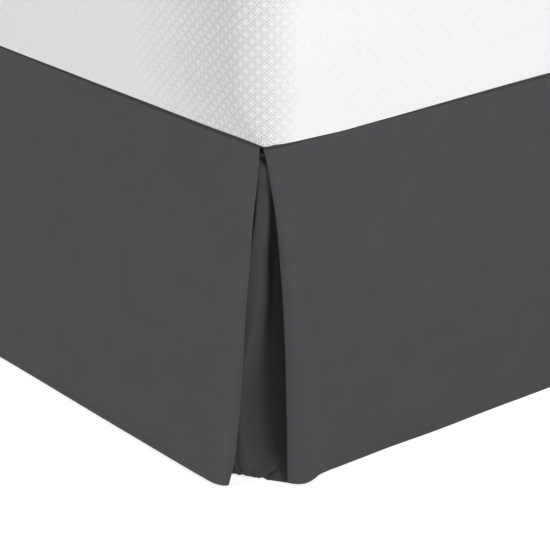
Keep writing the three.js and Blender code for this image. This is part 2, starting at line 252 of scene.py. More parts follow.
# %% Colour and node helpers
# A mix node has sockets for each kind of data. These are the ones that it uses for colours.
MIX_FACTOR, MIX_FIRST, MIX_SECOND, MIX_RESULT = 0, 6, 7, 2


def srgb(code):
    """A hex colour as linear RGBA."""
    parts = [int(code[i:i + 2], 16) / 255 for i in (1, 3, 5)]
    linear = [p / 12.92 if p <= 0.04045 else ((p + 0.055) / 1.055) ** 2.4 for p in parts]
    return (*linear, 1.0)


def fill(node, inputs):
    """Fills a node's inputs, each with a value, an output, or a node that stands for its first."""
    for name, value in inputs.items():
        if isinstance(value, bpy.types.Node):
            value = value.outputs[0]
        if isinstance(value, bpy.types.NodeSocket):
            node.id_data.links.new(value, node.inputs[name])
        else:
            node.inputs[name].default_value = value


def add_node(tree, kind, inputs=None, **settings):
    """Adds a shader node with its settings, and fills its inputs."""
    node = tree.nodes.new(f"ShaderNode{kind}")
    for name, value in settings.items():
        setattr(node, name, value)
    fill(node, inputs or {})
    return node


def new_finish(name):
    """A new material: itself, its node tree and its Principled shader."""
    material = bpy.data.materials.new(name)
    material.use_nodes = True
    print("finish", name)
    return material, material.node_tree, material.node_tree.nodes["Principled BSDF"]


def mottled(tree, place, patch_mm, dark, light):
    """A soft mottle of two shades, in patches about `patch_mm` across."""
    patches = add_node(tree, "TexNoise", {"Vector": place, "Scale": MM / patch_mm, "Detail": 2.0})
    shades = {MIX_FACTOR: patches, MIX_FIRST: srgb(dark), MIX_SECOND: srgb(light)}
    return add_node(tree, "Mix", shades, data_type="RGBA").outputs[MIX_RESULT]


# %% [markdown]
# ### Brushed microfibre
#
# The skirt is woven from polyester microfibre and brushed on its face, so its threads disappear
# under a very short nap. To the eye that is a dull, even charcoal with no gloss, faint cloudy
# patches where the nap lies differently, a fine fleck, and a little light at grazing angles. Real
# hairs could be grown on the mesh, but at about 0.01 mm they would never show, so the shader's
# sheen stands for them, and the fleck and the tufts are drawn coarser, at about 2 mm. The cloth is
# one dye, but each wall has its own pair of greys: the side drops' are painted lighter, as painted
# light for walls that the lamps reach less, and the inset's are painted darker, as painted shade
# for the hollow of the open corner.

# %% Brushed microfibre
CLOUD_MM = 34.0                   # patches where the nap leans together
FLECK_MM = 2.2                    # drawn coarse: a real fibre is about 0.01 mm thick
TUFT_MM = 1.6                     # drawn coarse, too
TUFT_HEIGHT_MM = 0.4
SIDE_EDGE_SHADE_MM = 13.0               # painted shade reaches this far in from the rolled end, at the hem
EDGE_SHADE_NARROWS = 0.02               # and less far higher up, by this for each millimetre
EDGE_SHADE_FULL = 0.3                 # the painted shade is full within this share of it
# The colour of the painted shade along the rolled end.
PAINTED_EDGE_SHADE = "#484a4c"


def brushed_microfibre(name, dark, light, edge_shade_mm=0.0):
    """Brushed cloth between two greys; the last argument is the width of a band of painted shade at the
    sheet's end.
    """
    material, tree, shader = new_finish(name)
    place = add_node(tree, "TexCoord").outputs["Object"]
    cloud = add_node(tree, "TexNoise", {"Vector": place, "Scale": MM / CLOUD_MM, "Detail": 2.0})
    cloud = add_node(tree, "MapRange", {"Value": cloud, "From Min": 0.2, "From Max": 0.8})
    fleck = add_node(tree, "TexNoise", {"Vector": place, "Scale": MM / FLECK_MM, "Detail": 1.0})
    fleck = add_node(tree, "MapRange", {"Value": fleck, "From Min": 0.25, "From Max": 0.75})
    both = add_node(tree, "Math", {0: fleck, 1: cloud}, operation="ADD")
    half = add_node(tree, "Math", {0: both, 1: 0.5}, operation="MULTIPLY")
    shades = {MIX_FACTOR: half, MIX_FIRST: srgb(dark), MIX_SECOND: srgb(light)}
    colour = add_node(tree, "Mix", shades, data_type="RGBA").outputs[MIX_RESULT]
    if edge_shade_mm:
        # Painted shade: the colour is darkened in a band along the sheet's rolled end.
        uv = add_node(tree, "UVMap", uv_map="cloth")
        flat = add_node(tree, "SeparateXYZ", {0: uv}).outputs
        narrowing = add_node(tree, "Math", {0: flat["Y"], 1: EDGE_SHADE_NARROWS}, operation="MULTIPLY")
        from_edge = add_node(tree, "Math", {0: flat["X"], 1: narrowing}, operation="ADD")
        width = {"From Min": edge_shade_mm / MM, "From Max": EDGE_SHADE_FULL * edge_shade_mm / MM}
        shaded_edge = add_node(tree, "MapRange", {"Value": from_edge, **width})
        shades = {MIX_FACTOR: shaded_edge, MIX_FIRST: colour, MIX_SECOND: srgb(PAINTED_EDGE_SHADE)}
        colour = add_node(tree, "Mix", shades, data_type="RGBA").outputs[MIX_RESULT]
    tuft = add_node(tree, "TexNoise", {"Vector": place, "Scale": MM / TUFT_MM, "Detail": 3.0})
    bump = add_node(tree, "Bump", {"Height": tuft, "Strength": 0.22, "Distance": TUFT_HEIGHT_MM / MM})
    fill(shader, {"Base Color": colour, "Normal": bump, "Roughness": 0.92, "IOR": 1.45,
                  "Specular IOR Level": 0.25, "Sheen Weight": 0.1, "Sheen Roughness": 0.45})
    return material


# Painted light: the side drops' greys are lighter than the foot drop's, and their rolled ends get a band
# of painted shade.
side_microfibre_painted = brushed_microfibre("brushed_microfibre_side_painted_light", "#4d4e50", "#545557", SIDE_EDGE_SHADE_MM)
foot_microfibre = brushed_microfibre("brushed_microfibre_foot", "#47484a", "#4e4f51")
# Painted shade: the inset's greys are darker than the foot drop's.
inset_microfibre_painted = brushed_microfibre("brushed_microfibre_inset_painted_shade", "#434446", "#4a4b4d")

# %% [markdown]
# ### Polyester thread
#
# The hems are sewn with a matching spun polyester thread. It is smoother than the brushed cloth, so
# each stitch catches a little more light. Its twist is too fine to draw, and a soft mottle along
# the row is enough.

# %% Polyester thread
THREAD_MOTTLE_MM = 4.0

hem_thread, thread_tree, thread_shader = new_finish("spun_polyester_thread")
thread_place = add_node(thread_tree, "TexCoord").outputs["Object"]
thread_colour = mottled(thread_tree, thread_place, THREAD_MOTTLE_MM, "#5c5d60", "#646568")
fill(thread_shader, {"Base Color": thread_colour, "Roughness": 0.6})

# %% [markdown]
# ### Jacquard mattress ticking
#
# The mattress is covered with white jacquard, a thick knit whose pattern is raised in the yarn
# itself: a lattice of small diamonds with one proud, larger diamond in each repeat. It could be
# real relief in the mesh, but so many diamonds need millions of faces for a height of a millimetre.
# The pattern is a bump worked out from the cloth's own flat coordinates, so that it runs round the
# corner unbroken. Along the straight sides the cover is drawn tight, and there it lies almost flat.

# %% Jacquard ticking
DIAMOND_WIDTH = 13.3              # one repeat of the raised diamonds, along the mattress
DIAMOND_HEIGHT = 12.4             # and up it
SMALL_IN_LARGE = 3                # small diamonds in the side of one repeat
YARN_MM = 1.1                     # drawn coarse: the knit's real loops are about 0.5 mm
RELIEF_MM = 1.8                   # full height of the pattern
RELIEF_SHARE = {"proud": 0.6, "pits": 0.55, "yarn": 0.25}
# Painted shade: the colour is darker in the pits and round the proud diamond, by these shares.
PIT_SHADE_SHARE = {"proud": 0.4, "pits": 0.6}
FLAT_WHITE_SHARE = 0.6                   # the white's share where the pattern lies flat, with its painted shade spread evenly
# Metres from the foot corner; a step along the side counts five times as much as one along the foot.
LOOSE_CORNER = {"tight_from": 0.21, "loose_within": 0.05, "side_counts": 5.0}
TIGHT_RELIEF = 0.14               # what is left of the relief where the cover is tight


def jacquard_ticking(name, white, shade):
    """White knit with raised diamonds, loose at the corners and tight along the sides."""
    material, tree, shader = new_finish(name)
    place = add_node(tree, "TexCoord").outputs["Object"]
    uv = add_node(tree, "UVMap", uv_map="cloth")
    flat = add_node(tree, "SeparateXYZ", {0: uv}).outputs
    across = add_node(tree, "Math", {0: flat["X"], 1: MM / DIAMOND_WIDTH}, operation="MULTIPLY")
    up = add_node(tree, "Math", {0: flat["Y"], 1: MM / DIAMOND_HEIGHT}, operation="MULTIPLY")
    rising = add_node(tree, "Math", {0: across, 1: up}, operation="ADD")
    falling = add_node(tree, "Math", {0: across, 1: up}, operation="SUBTRACT")

    def wave(diagonal, repeats):
        """0 on each seam between the diamonds and 1 midway between two seams, along one diagonal."""
        turn = add_node(tree, "Math", {0: diagonal, 1: math.pi * repeats}, operation="MULTIPLY")
        swing = add_node(tree, "Math", {0: turn}, operation="SINE")
        return add_node(tree, "Math", {0: swing}, operation="ABSOLUTE")

    # The proud diamond is high where both diagonals are near their middles.
    middle = add_node(tree, "Math", {0: wave(rising, 1), 1: wave(falling, 1)}, operation="MINIMUM")
    proud = add_node(tree, "MapRange", {"Value": middle, "From Min": 0.46, "From Max": 0.76})
    # The small ones round it are told apart only by the pits where their corners meet.
    small = {0: wave(rising, SMALL_IN_LARGE), 1: wave(falling, SMALL_IN_LARGE)}
    pits = add_node(tree, "Math", small, operation="MAXIMUM")
    pits = add_node(tree, "MapRange", {"Value": pits, "From Min": 0.25, "From Max": 0.85})
    yarn = add_node(tree, "TexNoise", {"Vector": place, "Scale": MM / YARN_MM, "Detail": 1.0})
    parts = {"proud": proud, "pits": pits, "yarn": yarn}

    def sum_of(shares):
        """The parts of the pattern that are named, added up by their shares."""
        total = 0.0
        for part, share in shares.items():
            inputs = {0: parts[part], 1: share, 2: total}
            total = add_node(tree, "Math", inputs, operation="MULTIPLY_ADD")
        return total

    # Over a corner the diamonds stand up fully, and along the straight sides they are drawn flat.
    spot = add_node(tree, "SeparateXYZ", {0: place}).outputs
    from_middle = add_node(tree, "Math", {0: spot["X"]}, operation="ABSOLUTE")
    from_side = add_node(tree, "Math", {0: HALF_WIDTH / MM, 1: from_middle}, operation="SUBTRACT")
    from_foot = add_node(tree, "Math", {0: spot["Y"], 1: FOOT_Y / MM}, operation="SUBTRACT")
    from_corner = {0: from_side, 1: LOOSE_CORNER["side_counts"], 2: from_foot}
    from_corner = add_node(tree, "Math", from_corner, operation="MULTIPLY_ADD")
    loose = add_node(tree, "MapRange", {
        "Value": from_corner, "From Min": LOOSE_CORNER["tight_from"],
        "From Max": LOOSE_CORNER["loose_within"], "To Min": TIGHT_RELIEF, "To Max": 1.0})

    height = add_node(tree, "Math", {0: sum_of(RELIEF_SHARE), 1: loose}, operation="MULTIPLY")
    bump = add_node(tree, "Bump", {"Height": height, "Strength": 1.0, "Distance": RELIEF_MM / MM})
    # Painted shade: the colour is darkened in the pits and grooves of the pattern, most where the
    # diamonds stand up.
    shade_swing = add_node(tree, "Math", {0: sum_of(PIT_SHADE_SHARE), 1: FLAT_WHITE_SHARE}, operation="SUBTRACT")
    white_share = add_node(tree, "Math", {0: shade_swing, 1: loose, 2: FLAT_WHITE_SHARE}, operation="MULTIPLY_ADD")
    shades = {MIX_FACTOR: white_share, MIX_FIRST: srgb(shade), MIX_SECOND: srgb(white)}
    colour = add_node(tree, "Mix", shades, data_type="RGBA").outputs[MIX_RESULT]
    fill(shader, {"Base Color": colour, "Normal": bump, "Roughness": 0.85, "IOR": 1.45,
                  "Specular IOR Level": 0.3, "Sheen Weight": 0.1})
    return material


mattress_ticking = jacquard_ticking("white_jacquard_ticking", "#e6e6e7", "#cacacc")

# %% [markdown]
# ### Base cloth and frame steel
#
# The bed base wears a plain woven polyester in off-white. Waves along all three axes stand for its
# threads, so that no wall of the base needs flat coordinates. The frame is steel tube with a baked
# powder coat: nearly black, half dull, with the faint orange-peel surface that the melted powder
# leaves.

# %% Base cloth and powder-coated steel
WEAVE_MM = 1.5                    # drawn coarse: the real threads lie 0.5 mm apart
WEAVE_HEIGHT_MM = 0.3
BASE_MOTTLE_MM = 40.0
ORANGE_PEEL_MM = 1.8
PEEL_HEIGHT_MM = 0.3
STEEL_MOTTLE_MM = 90.0

base_cloth, base_tree, base_shader = new_finish("woven_base_polyester")
base_place = add_node(base_tree, "TexCoord").outputs["Object"]
weave = 0.0
for base_axis in add_node(base_tree, "SeparateXYZ", {0: base_place}).outputs:
    threads = {0: base_axis, 1: 2 * math.pi * MM / WEAVE_MM}
    threads = add_node(base_tree, "Math", threads, operation="MULTIPLY")
    threads = add_node(base_tree, "Math", {0: threads}, operation="SINE")
    weave = add_node(base_tree, "Math", {0: threads, 1: weave}, operation="ADD")
base_bump = {"Height": weave, "Strength": 0.25, "Distance": WEAVE_HEIGHT_MM / MM}
fill(base_shader, {
    "Base Color": mottled(base_tree, base_place, BASE_MOTTLE_MM, "#dcdad4", "#e6e4df"),
    "Normal": add_node(base_tree, "Bump", base_bump), "Roughness": 0.9})

frame_steel, steel_tree, steel_shader = new_finish("powder_coated_steel")
steel_place = add_node(steel_tree, "TexCoord").outputs["Object"]
peel = {"Vector": steel_place, "Scale": MM / ORANGE_PEEL_MM, "Detail": 1.0}
steel_bump = {"Height": add_node(steel_tree, "TexNoise", peel), "Strength": 0.15,
              "Distance": PEEL_HEIGHT_MM / MM}
fill(steel_shader, {
    "Base Color": mottled(steel_tree, steel_place, STEEL_MOTTLE_MM, "#232427", "#2b2c30"),
    "Normal": add_node(steel_tree, "Bump", steel_bump), "Roughness": 0.42, "IOR": 1.5})

# %% [markdown]
# ## How the drops hang
#
# A drop hangs plumb only where nothing moves it. Here the side drops stand out at the hem, because
# the folded corner behind them pushes and the cloth is stiff; the foot drop hangs straight with a
# slightly set-in hem. Near the corner each drop ends in a rolled edge. A cloth simulation would hang
# the drops in folds of its own, and these have to lie as they were pressed and tucked in. So short
# tables give the ends at a few heights, and smooth curves fill in what lies between.

# %% The drape of a side drop
SIDE_FLARE = 22                   # the hem stands out from the top seam by this
SIDE_FLARE_CURVE = 1.4            # above 1: leans out near the top, hangs plumb near the hem
SIDE_PULL = {"depth": 6, "reach": 60}
SIDE_SWAY = {"depth": 1.2, "wave": 640}
SIDE_END = {
    "height": [0, 27, 60, 100, 150, 200, 250, 300, 340, 381],
    "along": [44, 35.8, 30.6, 27, 24.3, 22.9, 20, 18, 14.8, 13.2],
    "roll": [10, 9.5, 8.8, 8, 6.8, 5.7, 4.5, 3.4, 2.4, 1.5],
    "length": [22, 20.5, 19, 17, 15, 13, 11.5, 10, 8.5, 8],
}


def drawn_in(pull, along, height):
    """The top seam is drawn in towards the corner."""
    return pull["depth"] * np.exp(-along / pull["reach"]) * (height / DROP)


def sway(wave, along, height):
    """A slow unevenness, greatest at the hem."""
    return wave["depth"] * np.sin(2 * np.pi * along / wave["wave"]) * (1 - height / DROP)


def side_depth(along, height):
    """How far the face of a side drop stands in from the bed's side."""
    flare = SIDE_FLARE * (1 - (height / DROP) ** SIDE_FLARE_CURVE)
    return drawn_in(SIDE_PULL, along, height) - flare - sway(SIDE_SWAY, along, height)


def roll_depth(distance, roll, length, fullness):
    """Inward depth of a rolled end at a distance from its tip."""
    share = np.clip(1 - distance / length, 0, 1)
    return roll * (1 - (1 - share**fullness) ** (1 / fullness))


print("the side hem stands out by", -round(float(side_depth(HEAD_ALONG / 2, 0)), 1), "mm")

# %% The drape of the foot drop
FOOT_SETIN = {"depth": 3.5, "along": 110, "reach": 220}
FOOT_PULL = {"depth": 5, "reach": 25}
FOOT_SWAY = {"depth": 0.8, "wave": SKIRT_WIDTH / 2.5}
FOOT_END = {
    "height": [0, 27, 60, 100, 150, 200, 250, 300, 340, 366, 381],
    "along": [39, 38.2, 37.9, 36.9, 35.2, 32, 26.8, 21, 13.8, 8.8, 4.8],
    "roll": [13, 12.8, 12.6, 12, 11, 9.5, 7.5, 6, 5, 4.5, 4.5],
    "length": [14.5, 14.5, 14, 13, 11, 8.5, 5.5, 4, 3, 2.5, 2.5],
    "ridge": [6.6, 6.2, 5.6, 4.8, 3.8, 3, 2.3, 1.8, 1.4, 1.1, 1],
    "groove": [92, 87, 82, 74.5, 65, 57.5, 52, 49, 50, 51, 50],
}
RIDGE_CREST = 0.25                # shares of the way from the drop's tip to the groove
GROOVE = {"at": 1.05, "width": 0.18, "depth": 0.12}


def foot_depth(along, height):
    """How far the face of the foot drop stands in from the bed's foot."""
    from_middle = (along - FOOT_SETIN["along"]) / FOOT_SETIN["reach"]
    set_in = FOOT_SETIN["depth"] * np.exp(-(from_middle**2)) * (1 - height / DROP)
    return drawn_in(FOOT_PULL, along, height) + set_in - sway(FOOT_SWAY, along, height)


def foot_ridge(along, height):
    """The soft ridge beside the foot drop's rolled end, with the shallow groove next to it."""
    start = column(FOOT_END, "along", height)
    groove = column(FOOT_END, "groove", height)
    share = (along - start) / (groove - start)
    fall = np.clip((share - RIDGE_CREST) / (1 - RIDGE_CREST), 0, 1)
    valley = GROOVE["depth"] * np.exp(-(((share - GROOVE["at"]) / GROOVE["width"]) ** 2))
    return column(FOOT_END, "ridge", height) * (0.5 * (1 + np.cos(np.pi * fall)) - valley)


print("the foot hem stands in by", round(float(foot_depth(FOOT_SETIN["along"], 0)), 1), "mm")


# %% [markdown]
# ### Soft rises and dips
#
# Pressed cloth that has been folded and hung is never quite flat. Each row below is one soft rise
# (or, where it is below 0, a dip): where it lies, how high it stands, its width and
# height on the cloth, and how far it leans. Noise would spread them evenly, as real cloth never
# does. They are a millimetre or so, which is enough for the light to find.

# %% Rises and dips of the cloth
def rise(along, height, up, wide, tall, lean=0.0):
    """One named row of a table of rises."""
    return {"along": along, "height": height, "up": up, "wide": wide, "tall": tall, "lean": lean}


SIDE_RISES = [
    rise(228, 292, 1.1, 16, 34, -0.25),
    rise(200, 306, -0.9, 11, 26, -0.3),
    rise(252, 268, 0.8, 20, 40, -0.3),
    rise(140, 282, 1.6, 42, 46, 0.1),
    rise(345, 160, 1.8, 34, 60, -0.1),
    rise(450, 105, -1.8, 40, 40, 0.3),
    rise(322, 84, -1.6, 30, 42, 0.5),
    rise(225, 70, 2.0, 36, 46, 0.1),
    rise(112, 132, -1.5, 36, 50, -0.4),
    rise(205, 22, -1.2, 50, 24, 0.0),
    rise(108, 52, 1.2, 34, 34, 0.1),
    rise(405, 222, 1.4, 46, 60, 0.2),
    rise(410, 330, -1.2, 42, 36, 0.3),
    rise(302, 298, 1.2, 30, 44, -0.2),
    rise(620, 240, 2.0, 70, 90, 0.2),
    rise(760, 120, -2.0, 80, 80, -0.2),
    rise(930, 260, 1.8, 90, 80, 0.1),
    rise(1120, 150, -2.0, 80, 90, 0.2),
    rise(1300, 230, 2.0, 90, 100, -0.1),
    rise(1480, 110, -1.8, 70, 80, 0.2),
    rise(1660, 250, 1.8, 80, 80, 0.1),
    rise(1840, 140, -1.8, 70, 90, -0.2),
]
FOOT_RISES = [
    rise(130, 268, 1.4, 26, 46, -0.1),
    rise(150, 222, -1.2, 22, 34, 0.2),
    rise(222, 196, 1.3, 34, 30, 0.4),
    rise(211, 282, -1.0, 26, 40, 0.1),
    rise(318, 226, 1.3, 40, 44, 0.2),
    rise(362, 190, 1.5, 26, 40, 0.2),
    rise(384, 322, -1.0, 7, 46, 0.02),
    rise(330, 52, 1.5, 50, 40, 0.3),
    rise(186, 60, 1.4, 44, 44, 0.1),
    rise(274, 46, -1.2, 34, 40, 0.2),
    rise(520, 240, 1.8, 60, 80, 0.1),
    rise(640, 110, -1.8, 60, 70, -0.2),
    rise(790, 230, 1.6, 70, 80, 0.1),
    rise(930, 130, -1.8, 70, 80, 0.2),
    rise(1080, 250, 1.6, 60, 70, -0.1),
    rise(1230, 120, -1.6, 60, 80, 0.1),
    rise(1370, 230, 1.4, 46, 70, 0.2),
]


def relief(rises, along, height):
    """The height of all the rises together at a place on the cloth."""
    total = 0.0
    for row in rises:
        across = (along - row["along"] - row["lean"] * (height - row["height"])) / row["wide"]
        above = (height - row["height"]) / row["tall"]
        total = total + row["up"] * np.exp(-(across**2) - above**2)
    return total


print(len(SIDE_RISES), "rises and dips on a side drop and", len(FOOT_RISES), "on the foot drop")


# %% [markdown]
# ### Hems
#
# Each hem is the cloth itself, turned up twice and sewn 7 mm above its edge. The stitches draw the
# cloth in along their line, and the folded strip below them is thicker and stands out a little
# towards its edge. The layers inside the fold never show, so one thicker strip stands for them, and
# the rows of points lie close together here. The stitches are real little threads, laid on last.

# %% The hem's shape
HEM_FLARE = 0.12                  # the edge stands out by this
HEM_DENT = {"in": 0.1, "width": 1.3}     # the stitches draw the cloth in by this
HEM_STEP = {"above": 0.5, "over": 1.5}    # where the thick strip ends, above the stitches
HEM_ROWS = [0, 0.8, 2, 3.5, 5, 6, 6.5, 7, 7.5, 8, 8.6, 9.6, 11, 13, 15.5, 18.5, 22]
WALL_ROWS = np.linspace(26, 338, 73)
SEAM_ROWS = np.linspace(340.2, DROP_TOP, 21)
row_heights = np.concatenate([HEM_ROWS, WALL_ROWS, SEAM_ROWS])[:, None]


def hem_relief(height):
    """Outward shape of the hem strip by height above the edge."""
    below = np.clip(1 - height / HEM_LINE, 0, 1)
    dent = HEM_DENT["in"] * np.exp(-(((height - HEM_LINE) / HEM_DENT["width"]) ** 2))
    return HEM_FLARE * below - dent


def cloth_thickness(height):
    """The hem strip is thicker than the single cloth above it."""
    turned_up = 1 - smooth_step((height - HEM_LINE - HEM_STEP["above"]) / HEM_STEP["over"])
    return CLOTH + (HEM_CLOTH - CLOTH) * turned_up


thickness = cloth_thickness(row_heights)
print(len(row_heights), "rows up each drop,", round(float(thickness.max()), 1), "mm thick at the hem")

# %% [markdown]
# ### The three drops
#
# A drop could be one bent plane, but its ends need many more points than its middle. So its grid
# starts at the tip of the rolled end, its columns lie close together round the roll, and they
# spread out along the wall. The right-hand side drop is the left one's mirror image, with its rises
# in other places, and the foot drop has a rolled end at each side.

# %% Helpers for the drops
HEM_HANG = {"low": 0.6, "over": 150}     # the cloth stretches a little, so its hems hang lower
ROLL_STEPS = 14                   # columns round a rolled end
NEAR_STEPS = np.linspace(1.5, 6, 26)     # widths of the columns next to it


def stations(table, end_along, far_steps):
    """Distances along the wall for every row: round the roll, then wider and wider."""
    tip = column(table, "along", row_heights)
    length = column(table, "length", row_heights)
    turn = np.linspace(0, math.pi / 2, ROLL_STEPS + 1)[None, :]
    rolled = tip + length * (1 - np.cos(turn))
    near = tip + length + np.cumsum(NEAR_STEPS)[None, :]
    share = np.linspace(0, 1, far_steps + 1)[None, 1:]
    far = near[:, -1:] + (end_along - near[:, -1:]) * share
    return np.concatenate([rolled, near, far], axis=1)


def rolled_in(table, along, fullness):
    """How far a rolled end turns in at each station."""
    tip = column(table, "along", row_heights)
    length = column(table, "length", row_heights)
    roll = column(table, "roll", row_heights)
    return roll_depth(along - tip, roll, length, fullness)


def to_bed(plan_x, plan_y, height, mirrored=False):
    """Corner coordinates to the bed's own frame, still in millimetres."""
    x = -HALF_WIDTH + plan_x
    y = FOOT_Y + plan_y
    stretched = HEM_HANG["low"] * np.clip(1 - height / HEM_HANG["over"], 0, 1)
    z = np.broadcast_to(HEM_Z + height - stretched, x.shape)
    return np.stack([-x if mirrored else x, y, z], axis=2)


print(ROLL_STEPS + 1 + len(NEAR_STEPS), "columns close together by each rolled end")

# %% Build the side drops
SIDE_COLUMNS = 190                # columns along the plain wall
SIDE_FULLNESS = 2                 # how square the roll of its end is
RISES_START = {"from": 40, "over": 60}    # the rises fade in beyond the rolled end
RIGHT_RISES = 37                  # the right-hand drop's rises lie this much nearer the foot


def side_face(mirrored):
    """The outer face of a side drop, as a grid of points."""
    along = stations(SIDE_END, HEAD_ALONG, SIDE_COLUMNS)
    rises = relief(SIDE_RISES, along + (RIGHT_RISES if mirrored else 0), row_heights)
    rises = rises * smooth_step((along - RISES_START["from"]) / RISES_START["over"])
    depth = side_depth(along, row_heights) + rolled_in(SIDE_END, along, SIDE_FULLNESS)
    return to_bed(depth - rises - hem_relief(row_heights), along, row_heights, mirrored)


side_left_face = side_face(False)
side_right_face = side_face(True)
side_left = cloth_sheet("side_drop_left_cloth", side_left_face, thickness, (-1, 0, 0), side_microfibre_painted)
side_right = cloth_sheet("side_drop_right_cloth", side_right_face, thickness, (1, 0, 0), side_microfibre_painted)

# %% Build the foot drop
FOOT_COLUMNS = 66                 # columns along the plain wall, up to its middle
FOOT_FULLNESS = 1.5
FOOT_HEM_OVER = 100               # the hem's unevenness fades out within this height
# How much lower the foot drop's hem hangs along it.
FOOT_HEM = {
    "along": [0, 40, 53, 63, 76, 88, 98, 112, 138, 172, 199,
              226, 248, 270, 300, 337, 366, 400, 430, 600, 760],
    "lower": [0, -0.2, 0.1, 0.4, -0.8, 0.1, 0.2, -0.15, -0.3, -0.6, -0.2,
              0.55, 0.9, 0.95, 0.45, 0.28, 0.57, 1.0, 1.1, 0.5, 0.2],
}


def foot_face():
    """The outer face of the foot drop: half of it, and its mirror image with its own rises."""
    half = stations(FOOT_END, SKIRT_WIDTH / 2, FOOT_COLUMNS)
    depth = foot_depth(half, row_heights) - foot_ridge(half, row_heights)
    depth = depth + rolled_in(FOOT_END, half, FOOT_FULLNESS)
    along = np.concatenate([half, SKIRT_WIDTH - half[:, -2::-1]], axis=1)
    depth = np.concatenate([depth, depth[:, -2::-1]], axis=1)
    depth = depth - relief(FOOT_RISES, along, row_heights) - hem_relief(row_heights)
    from_corner = np.minimum(along, SKIRT_WIDTH - along)
    lower = smooth_curve(FOOT_HEM["along"], FOOT_HEM["lower"], from_corner)
    lower = lower * np.clip(1 - row_heights / FOOT_HEM_OVER, 0, 1)
    return to_bed(along, depth, row_heights - lower)


foot_drop_face = foot_face()
foot = cloth_sheet("foot_drop_cloth", foot_drop_face, thickness, (0, -1, 0), foot_microfibre)

# %% [markdown]
# ### The corner insets
#
# The inset fills the open corner from behind. Seen from above it runs along behind the foot drop,
# bends, crosses the corner on a slant, bends again and runs on behind the side drop. So it is made
# of level lines, one for each row, and a table says where the two bends lie at a few heights.

# %% Bends and lines
INSET_BENDS = {
    "height": [0, 27, 60, 100, 150, 200, 250, 300, 340, 366, 381],
    "side_in": [-12, -10.4, -8.4, -6, -3, 0.5, 1.5, 3.8, 5.8, 7.3, 8.5],
    "side_along": [90, 83, 75, 64, 47, 39, 31, 22, 19, 18, 17],
    "foot_along": [40, 39.3, 38.6, 37.5, 36.5, 35, 31, 27, 21, 17, 15],
    "foot_in": [10.5, 10.6, 10.8, 11, 11.3, 12.5, 12.3, 11.5, 9.6, 8.4, 7.8],
    "softness": [7, 8, 9, 9, 9, 8, 7, 6, 4.5, 3.5, 3],
}
BEND_STEPS = 10
BEND_SHARE = 0.45                 # a bend takes up no more of a straight run than this


def resample(line, count):
    """The same line with evenly spread points."""
    steps = np.linalg.norm(np.diff(line, axis=0), axis=1)
    places = np.concatenate([[0], np.cumsum(steps)])
    at = np.linspace(0, places[-1], count)
    return np.stack([np.interp(at, places, line[:, axis]) for axis in range(line.shape[1])], axis=1)


def rounded_bend(corner, before, after, softness):
    """A bend from one straight run to the next, as a curve of a few points."""
    reach_in = min(softness, BEND_SHARE * np.linalg.norm(before - corner))
    reach_out = min(softness, BEND_SHARE * np.linalg.norm(after - corner))
    start = corner + (before - corner) / np.linalg.norm(before - corner) * reach_in
    end = corner + (after - corner) / np.linalg.norm(after - corner) * reach_out
    t = np.linspace(0, 1, BEND_STEPS + 1)[:, None]
    return start * (1 - t) ** 2 + corner * 2 * t * (1 - t) + end * t**2


print("bends given at", len(INSET_BENDS["height"]), "heights")

# %% [markdown]
# ### The hollow in the inset
#
# Half of the slant is pushed back into a deep hollow, which is the dark part of the opening. It is
# a push of the whole line in one direction, so the cloth turns in softly at its crest and comes
# back out behind the foot drop. It hangs free there, and its hem sags a little lower.

# %% The hollow and the slit
# How deep the cloth is pushed in, where on the slant the hollow's crest lies, as a share of the way
# from the foot bend to the side bend, and how softly the cloth turns in.
HOLLOW = {
    "height": [0, 50, 98, 161, 224, 271, 302, 325, 345, 381],
    "depth": [4.5, 25, 31, 31, 27, 20, 11, 3, 0, 0],
    "crest": [0.36, 0.46, 0.52, 0.49, 0.37, 0.35, 0.28, 0.22, 0.2, 0.2],
    "round": [32, 31, 33, 25, 16, 11, 7, 6, 6, 6],
}
HOLLOW_WAY = (0.62, 0.785)        # the cloth is pushed in this way, straight back from the corner
HOLLOW_BACK = (12, 50)            # it comes back out between these distances behind the foot drop
HOLLOW_SAG = {"share": 0.55, "over": 90}    # the hem hangs lower by a share of the hollow's depth
# Above it the inset is also pinched in along the side drop's edge, which leaves a narrow slit.
SLIT = {"height": [0, 250, 275, 300, 325, 345, 355, 381], "depth": [0, 0, 4, 5, 3, 0.8, 0, 0]}
SLIT_SHAPE = {"past_bend": 0.6, "width": 1.9, "reach": 6}


def pushed_in(line, foot_bend, side_bend, height):
    """A level line of the inset, pushed into the hollow and the slit, with its heights."""
    slant = side_bend - foot_bend
    length = np.linalg.norm(slant)
    past_bend = (line - foot_bend) @ slant / length
    crest = float(column(HOLLOW, "crest", height)) * length
    turn = float(column(HOLLOW, "round", height))
    from_crest = smooth_step((crest + turn / 2 - past_bend) / turn)
    start, end = HOLLOW_BACK
    behind = smooth_step((line[:, 0] - foot_bend[0] - start) / (end - start))
    push = float(column(HOLLOW, "depth", height)) * from_crest * (1 - behind)
    sag = HOLLOW_SAG["share"] * push * max(0, 1 - height / HOLLOW_SAG["over"])
    from_slit = (past_bend - length - SLIT_SHAPE["past_bend"]) / SLIT_SHAPE["width"]
    at_side = np.exp(-(from_slit**2)) * (line[:, 1] < side_bend[1] + SLIT_SHAPE["reach"])
    push = push + float(column(SLIT, "depth", height)) * at_side
    return np.column_stack([line + push[:, None] * np.array(HOLLOW_WAY), height - sag])


print("the hollow is up to", max(HOLLOW["depth"]), "mm deep")

